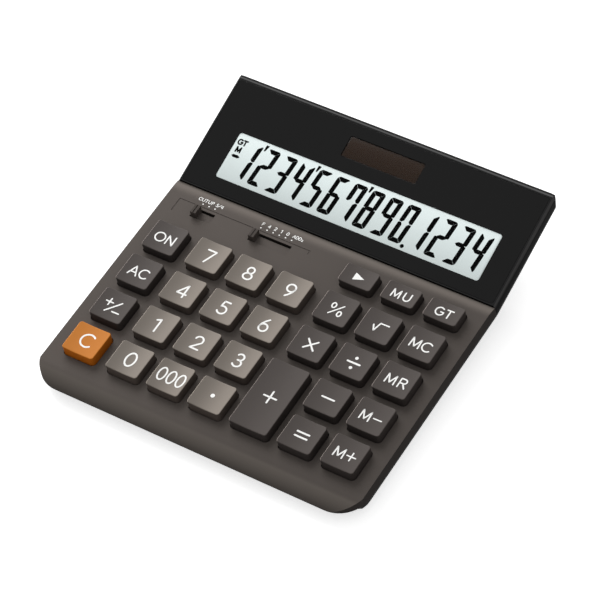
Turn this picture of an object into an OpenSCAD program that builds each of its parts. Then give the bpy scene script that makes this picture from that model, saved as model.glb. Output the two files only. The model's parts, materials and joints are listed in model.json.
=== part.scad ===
// Desk calculator: a wedge-shaped case with a keyboard deck in front and a tilted display behind.
// Millimetres. X runs left to right, Y from the front edge to the rear edge, Z up.
// The origin is on the table, under the middle of the case.

/* [Case] */
// Distance from the tops of the outer keys to the side of the case
side_margin = 8.425; // [8:0.025:12]
// Distance from the tops of the back keys to the seam
rear_margin = 8.8; // [8.2:0.1:14]
// Distance from the solar cell's window to the rear edge of the display section
screen_margin = 8.3; // [6.9:0.1:12]
// Height of the deck surface above the table at the front edge, if the front were not rolled
front_h = 9; // [8.6:0.1:14]
// Tilt of the keyboard deck
deck_tilt = 2.5; // [1.5:0.1:5]
// Tilt of the display
screen_tilt = 16.35; // [12:0.1:22]
// Radius of the two front corners, seen from above
front_corner_r = 13; // [8:0.5:18]
// Radius of the two rear corners, seen from above
rear_corner_r = 3; // [1:0.5:6]
// Thickness of the deck plate
plate_t = 1.8; // [1.5:0.1:2.2]
// Thickness of the skirts of the upper shells
skirt_t = 2; // [1.6:0.1:2.6]
// Depth of the skirts below the deck and display surfaces, measured straight down
skirt_h = 3.8; // [3.4:0.1:4.2]
// Slope of the skirts: how far they spread from top to bottom on each side
skirt_spread = 0.8; // [0:0.1:1.2]
// Length of the rolled front edge of the deck
roll_len = 8.4; // [5:0.1:9]
// Radius of the rolled front edge
roll_r = 12; // [10.5:0.5:20]
// Length of the rounded ridge at the rear of the deck
ridge_len = 5; // [3:0.5:6]
// Radius of the rounded ridge
ridge_r = 18; // [14:1:30]
// Width of the seam between the deck shell and the display bezel
seam_gap = 0.2; // [0.1:0.05:0.4]

/* [Lower case] */
// Height of the straight rim of the lower case
rim_h = 1.2; // [0.8:0.1:1.6]
// Taper below the rim: how far each side draws in for a millimetre of depth
taper = 0.9; // [0.6:0.05:1]
// Length of the flat underside that lies behind the seam
base_tail = 14.5; // [8:0.5:20]
// Height of the rear wall of the lower case below its rim
tail_h = 4; // [3:0.5:6]
// Thickness of the floor
floor_t = 1.6; // [1.2:0.1:1.8]
// Thickness of the tongue that locates the upper shells
tongue_t = 0.8; // [0.6:0.1:1]
// Height of that tongue
tongue_h = 1; // [0.6:0.1:1.4]
// Clearance between the tongue and the skirts
tongue_gap = 0.15; // [0.1:0.05:0.3]

/* [Feet] */
// Radius of the rubber feet
foot_r = 5; // [3:0.5:6]
// How far the feet stand below the lower case
foot_h = 1.2; // [1:0.1:1.6]
// How deep the feet are let into the lower case
foot_seat = 0.4; // [0.2:0.1:0.6]
// Distance of the feet from the sides of the case
foot_side = 23.5; // [20:0.5:30]
// Distance of the front feet behind the front edge
foot_front = 18; // [15:1:26]
// Distance of the rear feet behind the seam
foot_behind = 6.6; // [0:0.1:8]
// Clearance round a foot in its seat
foot_gap = 0.15; // [0.1:0.05:0.3]

/* [Keys] */
// Width of a key top
key_w = 14.05; // [12:0.05:14.4]
// Depth of a key top
key_d = 13.8; // [12:0.1:14.2]
// How much wider the two-row key is than the others, on its left
tall_extra = 2.35; // [0:0.05:2.6]
// Depth of the small key tops in the back row
small_d = 8.9; // [7.5:0.1:9.4]
// Height of the key tops above the deck
key_h = 3.8; // [3:0.1:5]
// Flare of the key sides from top to foot
key_flare = 0.45; // [0.2:0.05:0.6]
// Corner radius of a key at its foot
key_r = 1.7; // [1.2:0.1:2.5]
// Wall thickness of a key
key_wall = 1.2; // [0.9:0.1:1.5]
// Thickness of a key top
key_top = 1.4; // [1:0.1:1.8]
// Radius of the plunger inside a key
plunger_r = 2.2; // [1.6:0.1:2.6]
// Travel of a key
key_travel = 1.5; // [1:0.1:1.5]
// Clearance round a key in its opening
key_gap = 0.3; // [0.2:0.05:0.4]
// Width of the flange that keeps a key under the deck
flange_w = 1.1; // [0.8:0.1:1.2]
// Thickness of that flange
flange_t = 0.8; // [0.6:0.1:1]
// Clearance between the flange and the deck plate
flange_gap = 0.1; // [0.05:0.05:0.2]

/* [Key layout] */
// Distance between the number columns
number_pitch = 19.3; // [19:0.1:20]
// Distance between the columns of the right-hand block
right_pitch = 19.45; // [19:0.05:20]
// Distance from the first column to the first number column
left_step = 20.9; // [20:0.1:21.5]
// Distance from the last number column to the right-hand block
right_step = 21.7; // [21:0.1:22.2]
// Distance between the rows
row_pitch = 19.1; // [18.8:0.1:19.4]
// Distance from the last full row to the back row of small keys, front edge to front edge
small_step = 19.9; // [19.4:0.1:20.4]
// Distance of the first row's front edge behind the front of the deck
front_margin = 14.6; // [14.4:0.1:15.4]

/* [Slide switches] */
// Width of a switch knob
knob_w = 2.6; // [2.2:0.1:2.8]
// Depth of a switch knob
knob_d = 4.4; // [3.4:0.1:4.6]
// Height of a switch knob above the deck
knob_h = 2.8; // [1.6:0.1:3.4]
// Depth of the recess that a knob slides in
recess_depth = 0.8; // [0.4:0.1:1]
// Room in the recess beyond the knob's end positions
recess_room = 0.6; // [0.4:0.1:0.8]
// Room in the recess in front of the knob
recess_front = 0.3; // [0.2:0.05:0.5]
// Width and depth of the finger groove in a knob
knob_groove = 0.5; // [0.3:0.05:0.6]
knob_groove_depth = 0.3; // [0.2:0.05:0.4]
// Distance between two positions of a switch
detent_pitch = 2.95; // [2.6:0.05:3]
// Number of positions of the rounding switch
rounding_positions = 3; // [2:1:4]
// Number of positions of the decimal switch
decimal_positions = 6; // [4:1:6]
// Distance of the rounding switch's first position from the left side of the case
rounding_side = 17.45; // [17:0.05:20]
// Distance between the first positions of the two switches
switch_step = 28.1; // [27:0.1:30]
// Distance of the switch recesses ahead of the seam
recess_ahead = 9.55; // [9.3:0.05:9.8]
// Width of the slots at the back of the recesses
slot_w = 0.8; // [0.7:0.05:1]
// Clearance of a switch in its slot and over the deck
knob_gap = 0.15; // [0.1:0.05:0.25]
// Thickness of the slide plate under the deck
slide_t = 0.8; // [0.6:0.1:1]
// Width and depth of the slide plate
slide_d = 5; // [4:0.2:5.6]

/* [Engraved line] */
// Width of the line
groove_w = 0.5; // [0.3:0.1:0.8]
// Depth of the line
groove_depth = 0.3; // [0.2:0.1:0.5]
// Distance of the line ahead of the seam
groove_ahead = 8.55; // [8:0.05:8.7]
// Distance of the line's left end from the side of the case
groove_margin = 6.9; // [6:0.1:8]
// Length of the leg at its left end
groove_leg = 6.4; // [3:0.2:8]
// Length of the hook at its right end
groove_hook = 1.5; // [1:0.1:3]
// Length of the line beyond the decimal switch's last position
groove_tail = 9.9; // [5:0.1:12]

/* [Display] */
// Distance of the flat top of the display section from the side of the case
bezel_side = 1.4; // [1.2:0.1:3]
// Width of the sloping edge of the bezel
bevel_w = 0.9; // [0.7:0.1:1.1]
// Height of the sloping edge of the bezel
bevel_h = 1.3; // [0.5:0.1:1.5]
// Width of the bezel's flat rim at the front and the sides of the panel
panel_border = 0.8; // [0.7:0.1:2]
// Width of that rim behind the panel
panel_rear = 1.9; // [0.8:0.1:3]
// Thickness of the printed panel
panel_t = 1; // [0.8:0.1:1.2]
// Thickness of the plate under the panel
bezel_t = 1; // [0.8:0.1:1.2]
// Corner radius of the panel
panel_r = 1; // [0.6:0.1:3]
// Clearance of pieces let into the display
fit_gap = 0.1; // [0.05:0.05:0.15]
// Width of the window of the number display
lcd_w = 124.2; // [110:0.2:126]
// Height of the window of the number display
lcd_d = 21.9; // [18:0.1:23]
// Corner radius of that window
lcd_r = 1.2; // [0.6:0.1:2]
// X of the middle of that window
lcd_x = 1.2; // [-2:0.1:2]
// Distance of that window from the seam
lcd_s = 7.2; // [6.8:0.1:8]
// Width of the solar cell's window
solar_w = 35.2; // [28:0.2:40]
// Height of the solar cell's window
solar_d = 9.7; // [8:0.1:10.4]
// Corner radius of the solar cell's window
solar_r = 0.8; // [0.4:0.1:1.5]
// X of the middle of the solar cell's window
solar_x = 1.6; // [-4:0.1:4]
// Distance between the two windows
solar_gap = 6.3; // [5.7:0.1:9]
// Thickness of the display glass
glass_t = 1.8; // [1.4:0.1:2]
// Border of the display glass outside its window
glass_border = 1.9; // [1.5:0.1:2.2]
// Thickness of the reflector behind the glass
reflector_t = 0.2; // [0.15:0.05:0.3]
// Thickness of the solar cell
cell_t = 1.1; // [0.8:0.1:1.4]
// Border of the solar cell outside its window
cell_border = 1.1; // [0.8:0.1:1.6]
// Thickness of the holder behind the glass
holder_t = 1.2; // [1:0.1:1.6]
// Distance of the holder's front edge behind the seam
holder_front = 8.8; // [8.4:0.1:9.4]
// Distance of the holder's rear edge ahead of the rear edge of the display
holder_rear = 4.8; // [4.7:0.1:5]
// Distance of the holder's screws from the sides of the case
holder_side = 18; // [17.5:0.5:25]
// Thickness of the ribbon between glass and board
ribbon_t = 0.2; // [0.15:0.05:0.3]
// Width of that ribbon
ribbon_w = 96; // [60:2:110]
// Length of the ribbon's end that lies on the board
ribbon_foot = 3; // [2:0.2:4]
// Width of a solar lead
lead_w = 0.9; // [0.6:0.1:1.1]
// Distance between the solar leads, and from the cell's end to the first
lead_pitch = 3; // [2:0.2:5]
// Length of the holder's opening for the leads
lead_room = 6; // [5:0.2:7]

/* [Board and mat] */
// Thickness of the rubber key mat
mat_t = 0.5; // [0.4:0.1:0.6]
// Radius of a dome of the mat at its foot
dome_r = 3.6; // [3:0.1:3.8]
// Clearance between a dome and its key
dome_gap = 0.05; // [0.02:0.01:0.1]
// Thickness of the circuit board
board_t = 1; // [0.8:0.1:1.2]
// Distance of the circuit board from the sides of the case
board_side = 7.5; // [7:0.1:8.5]
// Distance of the board's front edge behind the front of the deck
board_front = 12; // [11.4:0.1:13]
// Length of the board behind the seam
board_tail = 12; // [11:0.5:12.5]
// Radius of the chip under its drop of resin
chip_r = 4.5; // [3:0.5:6]
// Height of that drop
chip_h = 1; // [0.6:0.1:1.4]
// Radius of a capacitor
capacitor_r = 1.8; // [1.4:0.1:2]
// Length of a capacitor
capacitor_len = 7; // [5:0.5:9]
// Distance between the two capacitors
capacitor_pitch = 8; // [5:0.5:12]

/* [Battery] */
// Radius of the button cell
battery_r = 5.8; // [4.8:0.1:6]
// Height of the button cell
battery_h = 3.05; // [2.2:0.05:3.1]
// Distance of the cell from the right-hand side of the case
battery_side = 35.5; // [32:0.5:42]
// Distance of the cell ahead of the seam
battery_ahead = 15.5; // [12:0.5:20]
// Clearance round the cell
battery_gap = 0.2; // [0.1:0.05:0.3]
// Wall of the ring round the cell
battery_ring = 1.4; // [1:0.1:2]
// Thickness of the battery cover
cover_t = 1.3; // [1.1:0.1:1.4]
// Distance of the cover's screw from the cell's axis
cover_reach = 13; // [12:0.5:16]
// Width of the cover
cover_w = 17; // [15:0.5:20]
// Clearance round the cover
cover_gap = 0.2; // [0.1:0.05:0.3]
// Thickness of the sheet-metal contacts
contact_t = 0.25; // [0.2:0.05:0.3]

/* [Screws] */
// Radius of a case screw's shank
screw_r = 0.95; // [0.8:0.05:1.1]
// Radius of a case screw's head
screw_head_r = 2.1; // [1.8:0.1:2.3]
// Height of a case screw's head
screw_head_h = 1.2; // [0.9:0.1:1.3]
// Length of a case screw's shank
screw_len = 4.4; // [4:0.1:4.6]
// Length of shank that stands clear of its standoff
screw_grip = 2.2; // [1.8:0.1:2.4]
// Radius of the bosses that the case screws turn into
boss_r = 2.4; // [2.1:0.1:2.5]
// Radius of a small screw's shank
small_screw_r = 0.6; // [0.5:0.05:0.7]
// Radius of a small screw's head
small_head_r = 1.3; // [1.1:0.1:1.5]
// Height of a small screw's head
small_head_h = 0.7; // [0.5:0.1:0.8]
// Radius of the small bosses under the deck
small_boss_r = 1.4; // [1.2:0.1:1.5]
// Clearance of a screw in its hole
screw_gap = 0.05; // [0.03:0.01:0.1]
// Distance of the deck's case screws from the sides of the case
screw_side = 14.5; // [13.5:0.5:15.5]
// Distance of the front case screws behind the front of the deck
screw_front = 8.4; // [8.2:0.1:8.6]
// Distance of the middle case screws ahead of the seam
screw_ahead = 4.4; // [4.3:0.05:4.5]
// Distance of the rear case screws from the sides of the case
rear_screw_side = 11.5; // [10.5:0.25:12]
// Distance of the rear case screws behind the seam, seen from above
rear_screw_y = 36; // [30:1:40]

/* [Hidden] */
$fn = 48;
cos_d = cos(deck_tilt);
sin_d = sin(deck_tilt);
cos_s = cos(screen_tilt);
sin_s = sin(screen_tilt);
column_span = left_step + 2 * number_pitch + right_step + 2 * right_pitch;
body_w = column_span + key_w + 2 * side_margin;
deck_len = row_y(4) + small_d + rear_margin;
solar_s = lcd_s + lcd_d + solar_gap;
screen_len = solar_s + solar_d + screen_margin;
body_l = deck_len * cos_d + screen_len * cos_s;
front_y = -body_l / 2;
rear_y = body_l / 2;
seam_y = front_y + deck_len * cos_d;
seam_z = front_h + deck_len * sin_d;
far = 400;   // longer than any size of the case
bite = 1;    // how far a cutter passes beyond the face it opens

// heights in the frame of the deck, where 0 is its surface
flange_top = -plate_t - flange_gap;
flange_bottom = flange_top - flange_t;
mat_top = flange_bottom - key_travel - flange_gap;
board_top = mat_top - mat_t;
board_bottom = board_top - board_t;

// heights in the frame of the display, where 0 is its surface
glass_top = -panel_t;
glass_bottom = glass_top - glass_t;
holder_top = glass_bottom - reflector_t;
holder_bottom = holder_top - holder_t;
plate_bottom = -panel_t - bezel_t;

// key columns and rows
column_x = [
    for (i = [0:6]) -column_span / 2 + (i > 0 ? left_step : 0) + number_pitch * min(max(i - 1, 0), 2)
        + (i > 3 ? right_step : 0) + right_pitch * max(i - 4, 0)];
function row_y(r) = front_margin + min(r, 3) * row_pitch + (r > 3 ? small_step : 0);

// every key: name, column, row, number of rows that it spans, colour
number_grey = [0.45, 0.42, 0.40];
dark_grey = [0.33, 0.31, 0.30];
orange = [0.78, 0.50, 0.24];
KEYS = [
    ["key_c", 0, 0, 1, orange], ["key_sign", 0, 1, 1, dark_grey],
    ["key_ac", 0, 2, 1, dark_grey], ["key_on", 0, 3, 1, dark_grey],
    ["key_0", 1, 0, 1, number_grey], ["key_000", 2, 0, 1, number_grey], ["key_point", 3, 0, 1, number_grey],
    ["key_1", 1, 1, 1, number_grey], ["key_2", 2, 1, 1, number_grey], ["key_3", 3, 1, 1, number_grey],
    ["key_4", 1, 2, 1, number_grey], ["key_5", 2, 2, 1, number_grey], ["key_6", 3, 2, 1, number_grey],
    ["key_7", 1, 3, 1, number_grey], ["key_8", 2, 3, 1, number_grey], ["key_9", 3, 3, 1, number_grey],
    ["key_plus", 4, 0, 2, dark_grey], ["key_times", 4, 2, 1, dark_grey], ["key_percent", 4, 3, 1, dark_grey],
    ["key_equals", 5, 0, 1, dark_grey], ["key_minus", 5, 1, 1, dark_grey],
    ["key_divide", 5, 2, 1, dark_grey], ["key_root", 5, 3, 1, dark_grey],
    ["key_m_plus", 6, 0, 1, dark_grey], ["key_m_minus", 6, 1, 1, dark_grey],
    ["key_mr", 6, 2, 1, dark_grey], ["key_mc", 6, 3, 1, dark_grey],
    ["key_shift", 4, 4, 1, dark_grey], ["key_mu", 5, 4, 1, dark_grey], ["key_gt", 6, 4, 1, dark_grey]];
function extra_width(k) = k[3] > 1 ? tall_extra : 0;
function key_width(k) = key_w + extra_width(k);
function key_depth(k) = k[2] > 3 ? small_d : key_d + (k[3] - 1) * row_pitch;
function key_middle(k) = [column_x[k[1]] - extra_width(k) / 2, row_y(k[2]) + key_depth(k) / 2];

// slide switches: X in the first position, number of positions
rounding_x = -body_w / 2 + rounding_side;
rounding_switch = [rounding_x, rounding_positions];
decimal_switch = [rounding_x + switch_step, decimal_positions];
recess_back = deck_len - recess_ahead;
slot_y = recess_back - slot_w / 2;
function switch_travel(s) = (s[1] - 1) * detent_pitch;

// a point of the deck's or the display's own side view, as Y and Z of the case
function deck_point(y, z) = [front_y + y * cos_d - z * sin_d, front_h + y * sin_d + z * cos_d];
function screen_point(s, h) = [seam_y + s * cos_s - h * sin_s, seam_z + s * sin_s + h * cos_s];

// the four screws of the board: in the gaps between key columns 1 and 2, and 6 and 7
board_screw_places = [
    for (pair = [[0, 1], [5, 6]], r = [0, 2])
        [(column_x[pair[0]] + column_x[pair[1]]) / 2, row_y(r) + key_d + (row_pitch - key_d) / 2]];
holder_x = body_w / 2 - holder_side;
holder_screw_places = [
    for (x = [-1, 1], s = [(lcd_s + lcd_d + glass_border + solar_s) / 2, screen_len - holder_rear - 2.2])
        [x * holder_x, s]];
deck_screw_places = [
    for (x = [-1, 1], y = [front_y + screw_front, seam_y - screw_ahead]) [x * (body_w / 2 - screw_side), y]];
rear_screw_places = [for (x = [-1, 1]) [x * (body_w / 2 - rear_screw_side), seam_y + rear_screw_y]];
foot_places = [
    for (x = [-1, 1], y = [front_y + foot_front, seam_y + foot_behind]) [x * (body_w / 2 - foot_side), y]];
battery_x = body_w / 2 - battery_side;
battery_y = seam_y - battery_ahead;

// underside of the lower case
base_z = foot_h;
base_end = seam_y + base_tail;
rim_front_z = front_h - skirt_h - rim_h;
tail_z = screen_point(screen_len, 0)[1] - skirt_h - rim_h - tail_h;
underside_rise = (tail_z - base_z) / (rear_y - base_end);
underside_slant = sqrt(1 + underside_rise * underside_rise);
shelf_z = base_z + screw_head_h;      // where the heads of the deck's case screws seat
rear_outer_z = base_z + (rear_screw_y - base_tail) * underside_rise;
rear_shelf_z = rear_outer_z + screw_head_h + screw_head_r * underside_rise;
bore_r = screw_r + screw_gap;
cell_bottom = base_z + cover_t + screw_gap;
cell_top = cell_bottom + battery_h;
wall_inset = skirt_t + tongue_gap + tongue_t;
seam_room = seam_gap / 2 + skirt_t + tongue_gap;   // walls that meet at the seam, each side of it

// ---- frames and helpers ----

module on_deck() {
    translate([0, front_y, front_h]) rotate([deck_tilt, 0, 0]) children();
}

module on_screen() {
    translate([0, seam_y, seam_z]) rotate([screen_tilt, 0, 0]) children();
}

// draws a side view (first coordinate along Y, second along Z) across the width of the case
module across(w) {
    rotate([90, 0, 90]) linear_extrude(w, center = true) children();
}

// draws a front view (first coordinate along X, second along Z) along Y from y0
module along(y0, l) {
    translate([0, y0 + l, 0]) rotate([90, 0, 0]) linear_extrude(l) children();
}

module rounded_rect(x0, y0, x1, y1, r) {
    difference() {
        translate([x0, y0]) square([x1 - x0, y1 - y0]);
        for (c = [[x0, y0, 1, 1], [x1, y0, -1, 1], [x0, y1, 1, -1], [x1, y1, -1, -1]])
            translate([c[0], c[1]]) mirror([c[2] < 0 ? 1 : 0, 0]) mirror([0, c[3] < 0 ? 1 : 0]) corner_cut(r);
    }
}

// what a rounded corner takes off a square one
module corner_cut(r) {
    difference() {
        translate([-bite, -bite]) square(r + bite);
        translate([r, r]) circle(r);
        translate([r, -2 * bite]) square(r + 3 * bite);
        translate([-2 * bite, r]) square(r + 3 * bite);
    }
}

// outline of the case, seen from above, as an upright column
module column(inset) {
    w = body_w / 2 - inset;
    y0 = front_y + inset;
    y1 = rear_y - inset;
    translate([0, 0, -bite]) linear_extrude(far / 4) difference() {
        translate([-w, y0]) square([2 * w, y1 - y0]);
        for (m = [0, 1]) mirror([m, 0]) {
            translate([-w, y0]) corner_cut(max(front_corner_r - inset, 0.6));
            translate([-w, y1]) mirror([0, 1]) corner_cut(max(rear_corner_r - inset, 0.6));
        }
    }
}

// everything ahead of, or behind, the upright seam plane
module ahead_of_seam(gap) {
    translate([-far / 2, seam_y - gap - far, -far / 2]) cube([far, far, far]);
}

module behind_seam(gap) {
    translate([-far / 2, seam_y + gap, -far / 2]) cube([far, far, far]);
}

// ---- deck shell ----

// side view of the deck: flat, rolled down at the front and eased at the rear ridge
module deck_side(lower, thin) {
    roll = roll_r - thin;
    ridge = ridge_r - thin;
    difference() {
        translate([-far / 4, lower]) square([far, -lower - thin]);
        difference() {
            translate([-far / 2, -far / 2]) square([far / 2 + roll_len, far]);
            translate([roll_len, -roll_r]) circle(roll);
            translate([roll_len - far, -far - roll_r]) square([far, far]);
        }
        if (thin == 0) difference() {
            translate([deck_len - ridge_len, -ridge_len]) square([far, far]);
            translate([deck_len - ridge_len, -ridge]) circle(ridge);
        }
    }
}

// front view of a shell: its skirts spread downwards
module skirt_front(top_w, depth) {
    w = body_w / 2;
    polygon([
        [-top_w / 2, 0], [top_w / 2, 0], [w, -depth], [w, -depth - bite],
        [-w, -depth - bite], [-w, -depth]]);
}

module key_opening(k) {
    m = key_middle(k);
    w = key_width(k) / 2 + key_flare + key_gap;
    d = key_depth(k) / 2 + key_flare + key_gap;
    translate([m[0], m[1], -plate_t - bite]) linear_extrude(plate_t + 2 * bite)
        rounded_rect(-w, -d, w, d, key_r + key_gap);
}

// the recess that a knob slides in, with the slot along its back
module switch_recess(s) {
    over = knob_w / 2;
    deep = knob_gap + knob_d + recess_front;
    translate([s[0] - over - recess_room, recess_back - deep, -recess_depth])
        cube([switch_travel(s) + 2 * over + 2 * recess_room, deep, recess_depth + bite]);
    translate([s[0] - over, recess_back - slot_w, -plate_t - bite])
        cube([switch_travel(s) + 2 * over, slot_w, plate_t + bite]);
}

module groove_piece(x0, y0, x1, y1) {
    translate([x0, y0, -groove_depth]) cube([x1 - x0, y1 - y0, groove_depth + bite]);
}

// shallow line engraved behind the two switches
module grooves() {
    y = deck_len - groove_ahead;
    left = -body_w / 2 + groove_margin;
    right = decimal_switch[0] + switch_travel(decimal_switch) + groove_tail;
    groove_piece(left, y - groove_leg, left + groove_w, y);
    groove_piece(left, y, right, y + groove_w);
    groove_piece(right - groove_w, y - groove_hook, right, y);
}

module deck_bosses() {
    for (p = deck_screw_places) {
        top = deck_point((p[1] - front_y) / cos_d, -plate_t / 2)[1];
        translate([p[0], p[1], shelf_z + screw_grip]) cylinder(r = boss_r, h = top - shelf_z - screw_grip);
    }
    on_deck() for (p = board_screw_places)
        translate([p[0], p[1], board_top]) cylinder(r = small_boss_r, h = -board_top - plate_t / 2);
}

module deck_pilots() {
    for (p = deck_screw_places)
        translate([p[0], p[1], shelf_z]) cylinder(r = bore_r, h = screw_len + 2 * screw_gap);
    on_deck() for (p = board_screw_places)
        translate([p[0], p[1], board_top - bite])
            cylinder(r = small_screw_r + screw_gap, h = bite - board_top - plate_t);
}

module upper_case() {
    color([0.35, 0.33, 0.31]) difference() {
        union() {
            difference() {
                intersection() {
                    column(0);
                    on_deck() across(far) deck_side(-skirt_h * cos_d, 0);
                    on_deck() along(-far / 4, far)
                        skirt_front(body_w - 2 * skirt_spread, skirt_h * cos_d);
                    ahead_of_seam(seam_gap / 2);
                }
                intersection() {
                    column(skirt_t);
                    on_deck() across(far) deck_side(-skirt_h - bite, plate_t);
                    ahead_of_seam(seam_gap / 2 + skirt_t);
                }
            }
            deck_bosses();
        }
        deck_pilots();
        on_deck() {
            for (k = KEYS) key_opening(k);
            switch_recess(rounding_switch);
            switch_recess(decimal_switch);
            grooves();
        }
    }
}

// ---- keys ----

module key_body(w, d, top_w, top_d, low, high) {
    intersection() {
        translate([0, 0, low]) linear_extrude(high - low) rounded_rect(-w, -d, w, d, key_r);
        along(-d, 2 * d) key_side(w, top_w, low, high);
        across(2 * w) key_side(d, top_d, low, high);
    }
}

module key_side(foot, top, low, high) {
    polygon([[-foot, low], [foot, low], [foot, 0], [top, high], [-top, high], [-foot, 0]]);
}

module key_cap(k) {
    m = key_middle(k);
    w = key_width(k) / 2 + key_flare;
    d = key_depth(k) / 2 + key_flare;
    color(k[4]) on_deck() translate([m[0], m[1], 0]) {
        difference() {
            union() {
                key_body(w, d, w - key_flare, d - key_flare, flange_top, key_h);
                translate([-w - flange_w, -d - flange_w, flange_bottom])
                    cube([2 * (w + flange_w), 2 * (d + flange_w), flange_t]);
            }
            translate([-w + key_wall, -d + key_wall, flange_bottom - bite])
                cube([2 * (w - key_wall), 2 * (d - key_wall), key_h - key_top - flange_bottom + bite]);
        }
        translate([0, 0, flange_bottom]) cylinder(r = plunger_r, h = key_h - key_top - flange_bottom);
    }
}

module key_mat() {
    w = column_x[6] + dome_r + 1.4;
    right = column_x[4] - dome_r - 1.4;
    y0 = board_front + 1;
    y1 = row_y(3) + key_d;
    y2 = row_y(4) + small_d;
    color([0.30, 0.32, 0.34]) on_deck() difference() {
        union() {
            translate([-w, y0, board_top]) cube([2 * w, y1 - y0, mat_t]);
            translate([right, y1 - bite, board_top]) cube([w - right, y2 - y1 + bite, mat_t]);
            for (k = KEYS) {
                m = key_middle(k);
                translate([m[0], m[1], mat_top])
                    cylinder(r1 = dome_r, r2 = plunger_r, h = flange_bottom - dome_gap - mat_top);
            }
        }
        for (p = board_screw_places)
            translate([p[0], p[1], board_top - bite]) cylinder(r = small_boss_r + 0.3, h = mat_t + 2 * bite);
    }
}

// ---- slide switches ----

module slider(s) {
    color([0.30, 0.28, 0.27]) on_deck() translate([s[0], slot_y, 0]) {
        back = slot_w / 2 - knob_gap;
        front = back - knob_d;
        foot = knob_gap - recess_depth;
        slide_top = -plate_t - knob_gap;
        difference() {
            translate([-knob_w / 2, front, foot]) cube([knob_w, knob_d, knob_h - foot]);
            translate([-knob_groove / 2, front - bite, knob_h - knob_groove_depth])
                cube([knob_groove, knob_d + 2 * bite, bite]);
        }
        translate([-knob_w / 2 + knob_gap, -back, slide_top])
            cube([knob_w - 2 * knob_gap, 2 * back, foot - slide_top]);
        translate([-slide_d / 2, -slide_d / 2, slide_top - slide_t]) cube([slide_d, slide_d, slide_t]);
    }
}

module wiper(s) {
    top = -plate_t - knob_gap - slide_t;
    color([0.80, 0.62, 0.30]) on_deck() translate([s[0], slot_y, 0]) {
        translate([-slide_d / 2, -slide_d / 2, top - contact_t]) cube([slide_d, slide_d, contact_t]);
        for (y = [-1, 1]) translate([0, y * slide_d / 3, 0]) {
            translate([-contact_t / 2, -0.5, board_top + screw_gap])
                cube([contact_t, 1, top - contact_t - board_top - screw_gap]);
        }
    }
}

module rounding_slider() { slider(rounding_switch); }
module decimal_slider() { slider(decimal_switch); }
module rounding_wiper() { wiper(rounding_switch); }
module decimal_wiper() { wiper(decimal_switch); }

// ---- display ----

flat_w = body_w - 2 * bezel_side;
panel_w = flat_w - 2 * panel_border;
panel_s0 = panel_border;
panel_s1 = screen_len - bevel_w - panel_rear;

// a plate with rounded corners in the frame of the display, centred on x
module screen_plate(x, s0, w, d, top, t, r) {
    on_screen() translate([0, 0, top - t]) linear_extrude(t)
        rounded_rect(x - w / 2, s0, x + w / 2, s0 + d, r);
}

// front view of the bezel: flat top, sloping edge, spreading skirt
module bezel_front() {
    w = body_w / 2;
    flat = flat_w / 2;
    depth = skirt_h * cos_s;
    polygon([
        [-flat, 0], [flat, 0], [flat + bevel_w, -bevel_h], [w, -depth], [w, -depth - bite],
        [-w, -depth - bite], [-w, -depth], [-flat - bevel_w, -bevel_h]]);
}

// side view of the bezel: flat top with the same sloping edge at the rear
module bezel_side(lower) {
    end = screen_len - bevel_w;
    polygon([
        [-far / 4, lower], [-far / 4, 0], [end, 0], [end + bevel_w, -bevel_h],
        [end + 3 * bevel_w, -3 * bevel_h], [end + 3 * bevel_w, lower]]);
}

module display_bezel() {
    wall = seam_gap / 2 + skirt_t;
    color([0.13, 0.13, 0.13]) difference() {
        union() {
            difference() {
                intersection() {
                    column(0);
                    on_screen() across(far) bezel_side(-skirt_h * cos_s);
                    on_screen() along(-far / 4, far) bezel_front();
                    behind_seam(seam_gap / 2);
                }
                intersection() {
                    column(skirt_t);
                    on_screen() across(far)
                        translate([-far / 4, -skirt_h - bite]) square([far, skirt_h + bite + plate_bottom]);
                    behind_seam(wall);
                }
            }
            on_screen() for (p = holder_screw_places)
                translate([p[0], p[1], holder_top])
                    cylinder(r = small_boss_r, h = plate_bottom - holder_top + bezel_t / 2);
            for (p = rear_screw_places) {
                low = rear_shelf_z + screw_grip;
                top = screen_point(rear_screw_y / cos_s, plate_bottom + bezel_t / 2)[1];
                translate([p[0], p[1], low]) cylinder(r = boss_r, h = top - low);
            }
        }
        for (p = rear_screw_places)
            translate([p[0], p[1], rear_shelf_z]) cylinder(r = bore_r, h = screw_len + 2 * screw_gap);
        screen_plate(0, panel_s0 - fit_gap, panel_w + 2 * fit_gap, panel_s1 - panel_s0 + 2 * fit_gap,
            bite, panel_t + bite, panel_r + fit_gap);
        lcd_seat(bite);
        solar_seat(bite);
        on_screen() for (p = holder_screw_places)
            translate([p[0], p[1], holder_top - bite])
                cylinder(r = small_screw_r + screw_gap, h = bite + plate_bottom - holder_top + 0.4);
    }
}

// openings of the bezel's plate, for the glass and for the solar cell
module lcd_seat(over) {
    border = glass_border + fit_gap;
    screen_plate(lcd_x, lcd_s - border, lcd_w + 2 * border, lcd_d + 2 * border,
        -panel_t + over, bezel_t + 2 * over, 0.5);
}

module solar_seat(over) {
    border = cell_border + fit_gap;
    screen_plate(solar_x, solar_s - border, solar_w + 2 * border, solar_d + 2 * border,
        -panel_t + over, bezel_t + 2 * over, 0.5);
}

module display_panel() {
    color([0.11, 0.11, 0.11]) difference() {
        screen_plate(0, panel_s0, panel_w, panel_s1 - panel_s0, 0, panel_t, panel_r);
        screen_plate(lcd_x, lcd_s, lcd_w, lcd_d, bite, panel_t + 2 * bite, lcd_r);
        screen_plate(solar_x, solar_s, solar_w, solar_d, bite, panel_t + 2 * bite, solar_r);
    }
}

module lcd_window() {
    color([0.85, 0.92, 0.92, 0.4])
        screen_plate(lcd_x, lcd_s + fit_gap, lcd_w - 2 * fit_gap, lcd_d - 2 * fit_gap, 0, panel_t, lcd_r);
}

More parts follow.
